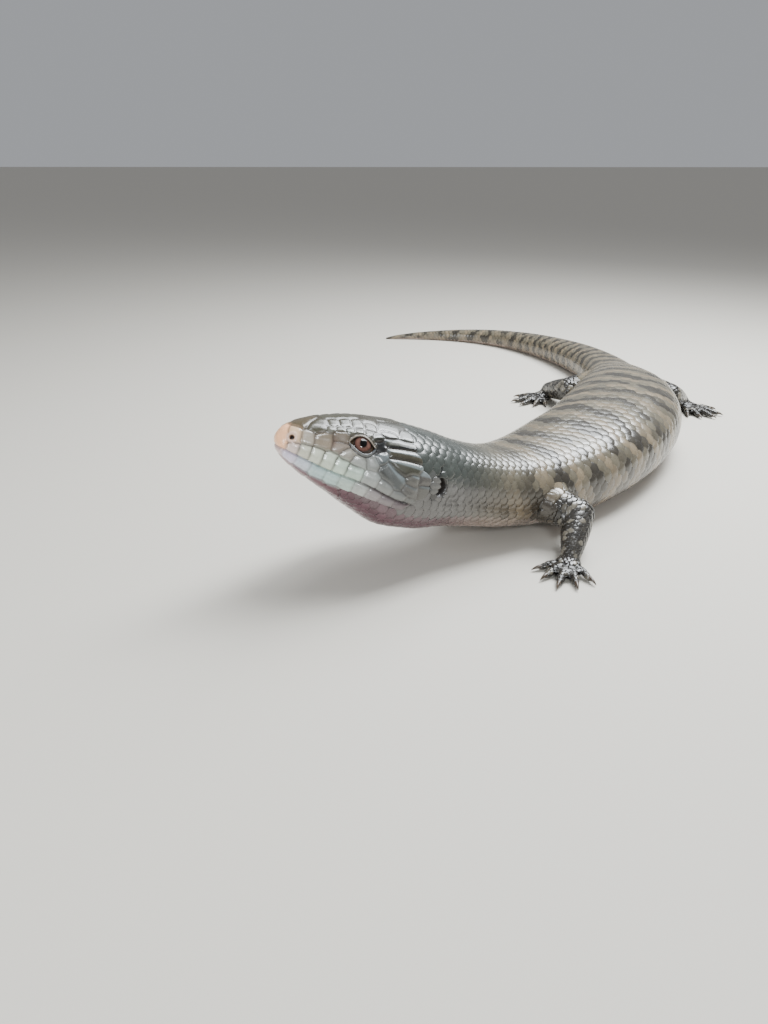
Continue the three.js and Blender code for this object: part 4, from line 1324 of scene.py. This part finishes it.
def body_lattice():
    """The root, spacing and half width of each scale, ring by ring from the throat to the tail tip."""
    rows = []
    phi = np.linspace(-math.pi, math.pi, 361)
    for start, end, lines in SCALE_RUNS:
        s = float(start)
        row = 0
        while s < end:
            run = np.concatenate([[0], np.cumsum(norm(np.diff(body_point(s, phi), axis=0)))])
            width = run[-1] / lines
            count = lines // 2
            at = np.interp((np.arange(count) + 0.5 * (row % 2)) / count * run[-1], run, phi)
            rows.append(np.stack(np.broadcast_arrays(s, at, width, width * 0.93), axis=-1))
            s += width / 2
            row += 1
    return np.concatenate(rows)


lattice = body_lattice()
root_s, root_phi, spacing, half_wide = lattice.T
shown_from = root_s + spacing * SCALE_LENGTH * 0.55
kept = shown_from > scales_from(np.degrees(np.abs(root_phi))) - 0.6 * spacing
middle = body_point(root_s + spacing, root_phi, TRUNK_DEPTH)
buried = np.array([SKIN_TREE.find_nearest(Vector(p))[3] for p in middle]) * (root_s > 75)
kept &= buried < 0.7  # millimetres under a leg's root
root_s, root_phi, spacing, half_wide = lattice[kept].T
middle = middle[kept]


def sheet_at(points):
    """Where the skin nearest to each point lies on the unwrapped sheet."""
    found = [SHEET_TREE.find_nearest(Vector(p))[2] for p in points]
    return sheet_centres[found]


skin_vertices = np.empty(len(skin.data.vertices) * 3, np.float32)
skin.data.vertices.foreach_get("co", skin_vertices)
skin_vertices = skin_vertices.reshape(-1, 3) / MM - SHIFT
skin_sides = [tuple(face.vertices) for face in skin.data.polygons]
SHEET_TREE = BVHTree.FromPolygons(skin_vertices.tolist(), skin_sides)


def lay_flat(piece, places):
    """The piece's map for the bake, from a place on the sheet for each of its points."""
    layer = piece.data.uv_layers.new(name="OFBake")
    layer.data.foreach_set("uv", places[corner_points(piece.data)].astype(np.float32).ravel())


def plate_faces(plate, count):
    """The faces of many like scales in one mesh."""
    places, faces = plate
    return (faces[None] + (np.arange(count) * len(places))[:, None, None]).reshape(-1, 3)


horn = keratin_material("horn_scale", 0.26, 0.3, 0.1)


def lay_coat(name, points, plate, roots, colours, edge, slot):
    """One piece of coat: many scales joined, each with its colour, lighter in its middle as a painted
    sheen, darker by edge along its rim, darkest on its underside as painted shade, and with its patch for
    the bake."""
    piece = add_piece(name, points.reshape(-1, 3), [plate_faces(plate, len(points))], slot)
    across, along, out, layer = plate[0].T
    edge = np.broadcast_to(edge, len(points))[:, None]
    # a painted sheen in each scale's middle, its own dark rim, and painted shade on its underside
    shade = 1 + 0.10 * (1 - out**2) - edge * ease((out - 0.78) / 0.2)
    shade = np.where(layer > 0, PAINTED_UNDERSIDE_SHADE, shade)
    set_colour_and_painted_light(piece, (colours[:, None] * shade[..., None]).reshape(-1, 3))
    patches = sheet_at(roots)[:, None] + PATCH * 0.5 * np.stack([across, along], axis=-1)
    lay_flat(piece, patches.reshape(-1, 2))
    piece.data.materials.append(horn)


scale_points = scales_on_body(root_s, root_phi, spacing, half_wide)
clear = np.ones(len(root_s), bool)
for sign in (1, -1):
    x, y, z = local(scale_points, side_place(EAR, sign))
    clear &= ~((ear_reach(x, y) < 1.25) & (z > -4)).any(axis=1)
root_s, root_phi, spacing = root_s[clear], root_phi[clear], spacing[clear]
middle, scale_points = middle[clear], scale_points[clear]
tone = 1 + draw.normal(0, 0.07, len(root_s))
scale_colours = body_marking_and_throat_shade(root_s + spacing, root_phi) * tone[:, None]
edges = 0.5 - 0.35 * ease((np.degrees(np.abs(root_phi)) - 105) / 20)
for name, start, end in COAT_SPANS:
    mine = (root_s >= start) & (root_s < end)
    lay_coat(
        name, scale_points[mine], LARGE_PLATE, middle[mine], scale_colours[mine], edges[mine], "body_skin")

# Leg scales
# Smaller plates run down each leg and out along the toes, with their free edges toward the claws. Small
# ones fill the skin round each leg's root, where they turn from the body's lie to the leg's.
LEG_SCALES_FROM = 1.4  # how far outside the body a leg's own rings of scales begin
ROOT_SCALES = (-0.3, 2.2)  # between these distances outside it lie the small ones
ROOT_SCALES_APART = 1.9


def ring_roots(line, lines, spacing, taper, reach):
    """Roots of scales in rings round a limb's middle line, found on the skin by looking outward."""
    roots = []
    along = unit(np.gradient(line, axis=0))
    run = np.concatenate([[0], np.cumsum(norm(np.diff(line, axis=0)))])
    distance, row = 0.0, 0
    while distance < run[-1]:
        centre, way = (np.array([np.interp(distance, run, v) for v in each.T]) for each in (line, along))
        way = unit(way)
        side = unit(np.cross(way, UP)) if abs(way[2]) < 0.95 else np.array([1.0, 0, 0])
        upward = np.cross(side, way)
        count = lines // 2
        gap = spacing - taper * (distance / run[-1])
        for j in range(count):
            turn = (j + 0.5 * (row % 2)) / count * 2 * math.pi
            direction = side * math.sin(turn) + upward * math.cos(turn)
            place, normal, _, _ = SKIN_TREE.ray_cast(Vector(centre), Vector(direction), reach)
            if place is None or place[2] < 0.35:
                continue
            place, normal = np.array(place), np.array(normal)
            width = np.linalg.norm(place - centre) * 2 * math.pi / lines
            roots.append((place, normal if normal @ direction > 0 else -normal, way, gap, width * 0.95))
        distance += gap / 2
        row += 1
    return roots


def leg_roots():
    roots = []
    for leg, plan in PLANS:
        toward = plan["palm"] * [1, 1, 0] + UP * leg["palm"][2]
        line = smooth_line(np.array([*plan["joints"], toward]), 60)
        roots += ring_roots(line[1:], 16, 2.5 if leg is FORELEG else 2.8, 0.6, 16)
        for toe in plan["toes"]:
            toe_line = smooth_line(toe["line"], 16)[1:]
            toe_line[:, 2] = np.maximum(toe_line[:, 2], 0.6)
            roots += ring_roots(toe_line, 6, 1.7, 0, 3.2)
    return roots


found_roots = leg_roots()
found_outside = body_place(np.array([root[0] for root in found_roots]))[2]
leg_scale_roots, taken = [], []
for root, outside in zip(found_roots, found_outside):
    if outside < LEG_SCALES_FROM:
        continue
    if taken and np.min(norm(np.array(taken[-90:]) - root[0])) < root[3] * 0.32:
        continue
    taken.append(root[0])
    leg_scale_roots.append(root)
for leg, plan in PLANS:
    hip, knee, _ = plan["joints"]
    spots = fine_points[norm(fine_points - hip) < 26]
    s, _, outside = body_place(spots)
    between = (outside > ROOT_SCALES[0]) & (outside < ROOT_SCALES[1]) & (spots[:, 2] > 0.8)
    for i in draw.permutation(np.flatnonzero(between)):
        if np.min(norm(np.array(taken) - spots[i])) < ROOT_SCALES_APART:
            continue
        centre, tailward, _, _ = body_frame(s[i])
        normal = np.array(SKIN_TREE.find_nearest(Vector(spots[i]))[1])
        normal *= np.sign(normal @ (spots[i] - centre))
        turned = ease((outside[i] + 0.3) / 1.8)
        way = unit(tailward + (unit(knee - hip) - tailward) * turned)
        leg_scale_roots.append((spots[i], normal, way, 3.2 - 0.5 * turned, 2.8 - 0.5 * turned))
        taken.append(spots[i])


def scales_on_skin(roots, tree):
    """Every point of small scales that are laid on a sheet of skin."""
    across, along, out, layer = SMALL_PLATE[0].T
    made = np.empty((len(roots), len(across), 3))
    for i, (root, normal, way, gap, half_wide) in enumerate(roots):
        rearward = unit(way - normal * (way @ normal) * 0.98)
        side = np.cross(normal, rearward)
        length = gap * SCALE_LENGTH
        a = plate_along(along, length)
        rise = plate_rise(a / length, out, layer, gap) + 0.05
        flat = root + rearward * a[:, None] + side * (half_wide * across)[:, None]
        for j, spot in enumerate(flat):
            place, facing, _, _ = tree.find_nearest(Vector(spot))
            facing = np.array(facing)
            facing = facing if facing @ normal > -0.2 else -facing
            made[i, j] = np.array(place) + unit(facing + 0.5 * normal) * rise[j]
    made[..., 2] = np.maximum(made[..., 2], 0.0)
    return made


leg_centres = np.array([root[0] for root in leg_scale_roots])
leg_colours = leg_marking(leg_centres, draw.normal(0, 0.12, len(leg_centres)))
leg_colours *= (1 + draw.normal(0, 0.08, len(leg_centres)))[:, None]
leg_s, leg_phi, leg_outside = body_place(leg_centres)
leg_colours = mixed(body_marking_and_throat_shade(leg_s, leg_phi), leg_colours, ease(leg_outside / 2.0))
leg_points = scales_on_skin(leg_scale_roots, SKIN_TREE)
lay_coat("leg_scales", leg_points, SMALL_PLATE, leg_centres, leg_colours, 0.45, "leg_skin")

# Lid skin
# The lids are the same soft skin as the lips, in a ring of small folds: a thin pale edge above the eye,
# and a thick grey one below it with a dark furrow under that. The furrow's darkness and a dark line where
# the lids meet the eyeball are painted shade.
def lid_marking_and_painted_shade(points, y, out):
    nearest = [head_tree.find_nearest(Vector(p))[2] for p in points.reshape(-1, 3)]
    colour = head_colour[head_quads[nearest]].mean(axis=1).reshape(points.shape)
    above, below = ease(-y / 0.5), ease(y / 0.5)
    return painted(colour, [
        ("#4d483c", 0.7 * above),
        ("#a8998b", 0.8 * above * hump((out - 0.42) / 0.22)),
        ("#4f5255", 0.9 * below * ease(out / 0.15) * (1 - ease((out - 0.6) / 0.2))),
        # painted shade in the furrow under the lower lid
        ("#08090b", 0.95 * below * hump((out - 1.05) / 0.5)),
        # painted shade where the lids meet the eyeball
        ("#1a1311", 1 - ease((out - 0.05) / 0.14)),
    ])


lid_parts = [(points.reshape(-1, 3), grid_quads(*x.shape)) for points, x, _, _ in LID_RINGS]
eyelids = add_piece("eyelids", *gathered(lid_parts), "head_skin")
lid_colours = [lid_marking_and_painted_shade(points, y, out).reshape(-1, 3) for points, _, y, out in LID_RINGS]
set_colour_and_painted_light(eyelids, np.concatenate(lid_colours))
lay_flat(eyelids, np.concatenate([
    np.stack([0.25 + 0.5 * eye_number + x / 28, 0.5 + y / 14], axis=-1).reshape(-1, 2)
    for eye_number, (_, x, y, _) in enumerate(LID_RINGS)
]))
eyelids.data.materials.append(keratin_material("soft_lid_skin", 0.38, 0.3, 0.05))

# Eyes
# Round balls of jelly in a tough coat, almost filled by a red brown iris with a black pupil, under a
# clear cornea. Each is held in its socket by the two lids, which lie close on it.
GAZE_UP = math.radians(7)
CORNEA_PROUD = 0.18
BALL_ROWS, BALL_SIDES = 60, 72
IRIS_REACH = 3.7
IRIS_RINGS = [  # how far out in that reach, and the colour there
    (0.0, "#010101"), (0.285, "#010101"), (0.325, "#1a0e0a"), (0.39, "#573e37"), (0.55, "#674940"),
    (0.69, "#50342c"), (0.77, "#1a110d"), (0.83, "#2a2019"), (1.0, "#5c4c3b"),
]


def ball(place):
    """An eyeball's points and faces, and each point's place across, down and out from its middle."""
    centre, rearward, downward, outward = place
    polar = np.linspace(0.01, math.pi - 0.01, BALL_ROWS)[:, None]
    turn = np.linspace(0, 2 * math.pi, BALL_SIDES, endpoint=False)[None]
    radius = EYE["radius"] - 0.02
    out = radius + CORNEA_PROUD * np.exp(-((polar / 0.5) ** 2))
    x = (np.sin(polar) * out) * np.cos(turn)
    y = (np.sin(polar) * out) * np.sin(turn)
    z = (np.cos(polar) * out) * np.ones(turn.shape)
    rings = centre + x[..., None] * rearward + y[..., None] * downward + z[..., None] * outward
    points, *faces = closed_tube(rings)
    flat = np.stack([x, y, z], axis=-1).reshape(-1, 3)
    return points, faces, np.concatenate([flat, [[0, 0, out[0, 0]], [0, 0, -radius]]])


def looking_up(flat):
    """Places on the eyeball as the iris lies there: turned a little upward, with a tall pupil."""
    c, w = math.cos(GAZE_UP), math.sin(GAZE_UP)
    x, y = flat[:, 0], flat[:, 1] * c + flat[:, 2] * w
    tall = 1 + 0.2 * (1 - ease((np.hypot(x, y) - 1.3) / 1.0))
    return np.stack([x * tall**0.5, y / tall**0.8, flat[:, 2] * c - flat[:, 1] * w], axis=-1)


def eye_material():
    """A wet eyeball: a fibrous iris that looks deep, under a clear cornea as smooth as a mirror."""
    material, tree = new_material("wet_eye")
    place = add_node(tree, "Attribute", attribute_name="gaze")
    split = add_node(tree, "SeparateXYZ", {0: place.outputs["Vector"]})
    flat = add_node(tree, "CombineXYZ", {0: split.outputs[0], 1: split.outputs[1]})
    radius = add_node(tree, "VectorMath", {0: flat.outputs[0]}, operation="LENGTH")
    outward = add_node(tree, "VectorMath", {0: flat.outputs[0]}, operation="NORMALIZE")
    # by direction, so that the fibres run out from the pupil: about 28 round it
    fibre = add_node(tree, "TexNoise", {
        "Vector": outward.outputs[0], "Scale": 9.0, "Detail": 5.0, "Roughness": 0.65,
    })
    ring = add_node(tree, "MapRange", {
        "Value": radius.outputs["Value"], "From Min": 0.0, "From Max": IRIS_REACH,
    })
    ramp = add_node(tree, "ValToRGB", {0: ring.outputs[0]})
    while len(ramp.color_ramp.elements) < len(IRIS_RINGS):
        ramp.color_ramp.elements.new(0.5)
    for element, (at, code) in zip(ramp.color_ramp.elements, IRIS_RINGS):
        element.position = at
        element.color = (*hex_colour(code), 1)
    streaks = add_node(tree, "MapRange", {
        "Value": fibre.outputs["Fac"], "From Min": 0.3, "From Max": 0.7, "To Min": 0.62, "To Max": 1.35,
    })
    pigment = {0: ramp.outputs[0], "Scale": streaks.outputs[0]}
    colour = add_node(tree, "VectorMath", pigment, operation="SCALE")
    shader = add_node(tree, "BsdfPrincipled", {
        "Base Color": colour.outputs[0], "Roughness": 0.5, "IOR": 1.05, "Coat Weight": 1.0,
        "Coat Roughness": 0.02, "Coat IOR": 1.38,
    })
    add_node(tree, "OutputMaterial", {"Surface": shader.outputs[0]})
    return material


wet_eye = eye_material()
for side, sign in (("left", 1), ("right", -1)):
    points, faces, flat = ball(eye_place(sign))
    eyeball = add_piece("eyeball_" + side, points, faces, "eye")
    gaze = eyeball.data.attributes.new("gaze", "FLOAT_VECTOR", "POINT")
    gaze.data.foreach_set("vector", looking_up(flat).astype(np.float32).ravel())
    reach = np.arccos(np.clip(flat[:, 2] / norm(flat), -1, 1)) / math.pi
    spokes = flat[:, :2] / np.maximum(norm(flat[:, :2]), 1e-6)[:, None]
    lay_flat(eyeball, 0.5 + 0.48 * reach[:, None] * spokes)
    eyeball.data.materials.append(wet_eye)
    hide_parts("eye_" + side)

# Eardrums and ear scales
# The drum is a thin dark membrane across the bottom of the ear's pit. Small scales ring the pit, and
# three pointed lobules stand over its front edge.
LOBULES = ((-1, 1.9), (1, 1.8), (0, 2.4))  # which way from the middle one, and half how long
LOBULE_HALF_WIDE = 1.45
EAR_SCALE = 1.9


def membrane_material():
    """Thin skin stretched over the drum: dark, smooth and a little moist, with faint veins."""
    material, tree = new_material("drum_membrane")
    place = add_node(tree, "TexCoord").outputs["Object"]
    # veins 1.1 mm apart
    veins = add_node(tree, "TexNoise", {"Vector": place, "Scale": 0.9 / MM, "Detail": 3.0})
    ramp = add_node(tree, "ValToRGB", {0: veins.outputs["Fac"]})
    ramp.color_ramp.elements[0].color = (*hex_colour("#2f2825"), 1)
    ramp.color_ramp.elements[1].color = (*hex_colour("#5d4f49"), 1)
    bump = add_node(tree, "Bump", {"Height": veins.outputs["Fac"], "Strength": 0.2, "Distance": 0.2 * MM})
    shader = add_node(tree, "BsdfPrincipled", {
        "Base Color": ramp.outputs[0], "Roughness": 0.35, "IOR": 1.45, "Normal": bump.outputs[0],
    })
    add_node(tree, "OutputMaterial", {"Surface": shader.outputs[0]})
    return material


drum_membrane = membrane_material()
for side in ("left", "right"):
    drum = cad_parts["ear_" + side]
    drum.data.materials.clear()
    drum.data.materials.append(drum_membrane)
across, along, out, layer = LARGE_PLATE[0].T
lobule_points, lobule_roots = [], []
for sign in (1, -1):
    centre, rearward, downward, outward = side_place(EAR, sign)
    for row, half_long in LOBULES:
        at_edge = centre - rearward * (EAR["half_long"] + 0.9) + downward * row * 1.7
        flap = rearward * (along * half_long)[:, None]
        flap += downward * (LOBULE_HALF_WIDE * across * (1 - 0.45 * np.maximum(along, 0)))[:, None]
        high = 0.22 * along + 0.12 * (row == 0) + 0.22 * (1 - out**2) - 0.35 * layer
        flap += outward * high[:, None]
        lobule_points.append(at_edge + flap)
        lobule_roots.append(at_edge)
lobule_points, lobule_roots = np.array(lobule_points), np.array(lobule_roots)
lobule_colours = np.tile(hex_colour("#5a5956"), (len(lobule_roots), 1))
lay_coat("ear_lobules", lobule_points, LARGE_PLATE, lobule_roots, lobule_colours, 0.4, "head_skin")


def ear_scale_fits(x, y, gap, chosen):
    """Whether a small scale has room beside the pit, the lobules and those already chosen."""
    free_edge = ear_reach(x + 1.8 * gap, y)
    if ear_reach(x, y) < 1.38 or (x < 0 and free_edge < 1.45) or (x < -2.5 and abs(y) < 3.2):
        return False
    return all(math.hypot(x - a, y - b) >= gap * 0.72 for a, b in chosen)


covering = BVHTree.FromPolygons(
    scale_points.reshape(-1, 3).tolist(), plate_faces(LARGE_PLATE, len(scale_points)).tolist())
grid = np.arange(-9, 9.1, 0.4)
spread = [(x, y) for x in grid for y in grid]
rim_long, rim_high = EAR["half_long"] + 1.0, EAR["half_high"] + 1.4
rim = [(rim_long * math.cos(k * math.pi / 8), rim_high * math.sin(k * math.pi / 8)) for k in range(16)]
ear_roots = []
for sign in (1, -1):
    centre, rearward, downward, outward = side_place(EAR, sign)
    chosen = []
    for x, y in rim + [spread[k] for k in draw.permutation(len(spread))]:
        gap = EAR_SCALE + 0.1 * max(math.hypot(x, y) - 3, 0)
        if not ear_scale_fits(x, y, gap, chosen):
            continue
        look = Vector(centre + rearward * x + downward * y + outward * 6), Vector(-outward), 12
        place, normal, _, _ = SHEET_TREE.ray_cast(*look)
        if place is None or covering.ray_cast(*look)[0] is not None:
            continue
        normal = np.array(normal) * np.sign(np.array(normal) @ outward)
        chosen.append((x, y))
        ear_roots.append((np.array(place), normal, rearward, gap, gap * 0.85))
ear_spots = np.array([root[0] for root in ear_roots])
ear_s, ear_phi, _ = body_place(ear_spots)
ear_colours = body_marking_and_throat_shade(ear_s, ear_phi) * (1 + draw.normal(0, 0.07, len(ear_roots)))[:, None]
ear_scale_points = scales_on_skin(ear_roots, SHEET_TREE)
lay_coat("ear_scales", ear_scale_points, SMALL_PLATE, ear_spots, ear_colours, 0.5, "head_skin")

# Claws
# Each toe ends in a short curved claw of dark horn, round above and tapering to a blunt point. Its root
# is sunk in the toe's end, where it grows.
CLAW_LENGTH = 3.2
CLAW_SUNK = 0.8
CLAW_RADIUS = 0.85


def claw_rings(toe):
    t = np.linspace(0, 1, 12)
    line = toe["line"][-1] + toe["way"] * ((CLAW_LENGTH + CLAW_SUNK) * t - CLAW_SUNK)[:, None]
    line[:, 2] = toe["line"][-1][2] + 0.3 + 0.25 * np.sin(t * 2.2) - 1.1 * t * t
    radii = CLAW_RADIUS * np.interp(t, [0, 0.3, 0.7, 0.92, 1], [1, 0.86, 0.5, 0.24, 0.08])
    return round_rings(line, radii, 14)


def claw_material():
    """Old horn, grown in layers: dark, streaked along the claw, with a waxy shine."""
    material, tree = new_material("claw_horn")
    place = add_node(tree, "TexCoord").outputs["Object"]
    # streaks 1.4 mm apart
    streaks = add_node(tree, "TexNoise", {"Vector": place, "Scale": 0.7 / MM, "Detail": 3.0})
    ramp = add_node(tree, "ValToRGB", {0: streaks.outputs["Fac"]})
    ramp.color_ramp.elements[0].color = (*hex_colour("#1d1814"), 1)
    ramp.color_ramp.elements[1].color = (*hex_colour("#5a4c3f"), 1)
    shader = add_node(tree, "BsdfPrincipled", {
        "Base Color": ramp.outputs[0], "Roughness": 0.28, "IOR": 1.54,
    })
    add_node(tree, "OutputMaterial", {"Surface": shader.outputs[0]})
    return material


claw_parts = [closed_tube(claw_rings(toe)) for _, plan in PLANS for toe in plan["toes"]]
claws = add_piece("claws", *gathered(claw_parts), "leg_skin")
claws.data.materials.append(claw_material())

# Floor and studio light
# A plain pale floor of card and four soft boxes: one overhead, one behind the neck, a small one over the
# camera, and an upright strip before the face.
FLOOR_HALF = 4
FLOOR_DROP = 0.1 * MM  # so that the floor and the flats under the animal don't flicker
floor_corners = np.array([(-1, -1, 0), (1, -1, 0), (1, 1, 0), (-1, 1, 0)]) * FLOOR_HALF - UP * FLOOR_DROP
floor_mesh = new_mesh("floor", floor_corners, [np.arange(4)[None]])
floor = bpy.data.objects.new("floor", floor_mesh)
bpy.context.scene.collection.objects.link(floor)
floor_material, floor_tree = new_material("pale_card")
card = add_node(floor_tree, "BsdfPrincipled", {"Base Color": (*hex_colour("#c9c4ba"), 1), "Roughness": 0.8})
add_node(floor_tree, "OutputMaterial", {"Surface": card.outputs[0]})
floor_mesh.materials.append(floor_material)


LAMP_WHITE = (0.93, 0.97, 1.0)


def add_light(name, energy, size, place, target):
    """A soft box: its size is how wide it is and how long, and it faces its target."""
    data = bpy.data.lights.new(name, "AREA")
    data.energy = energy
    data.shape = "RECTANGLE"
    data.size, data.size_y = size
    data.color = LAMP_WHITE
    light = bpy.data.objects.new(name, data)
    light.location = place
    light.rotation_euler = (Vector(target) - Vector(place)).to_track_quat("-Z", "Y").to_euler()
    bpy.context.scene.collection.objects.link(light)


add_light("overhead", 6.4, (0.18, 0.48), (-0.01, -0.17, 0.5), (-0.18, 0.06, 0.04))
add_light("behind", 3.0, (0.3, 0.3), (0.14, -0.12, 0.42), (-0.16, 0.05, 0.04))
add_light("front", 1.3, (0.09, 0.09), (-0.665, 0.0, 0.33), (-0.18, 0.08, 0.05))
add_light("side_strip", 2.2, (0.1, 0.4), (-0.5, 0.55, 0.2), (-0.18, 0.08, 0.05))
world = bpy.data.worlds.new("studio")
bpy.context.scene.world = world
world.use_nodes = True
world.node_tree.nodes["Background"].inputs["Color"].default_value = (0.92, 0.95, 1.0, 1)
world.node_tree.nodes["Background"].inputs["Strength"].default_value = 0.4
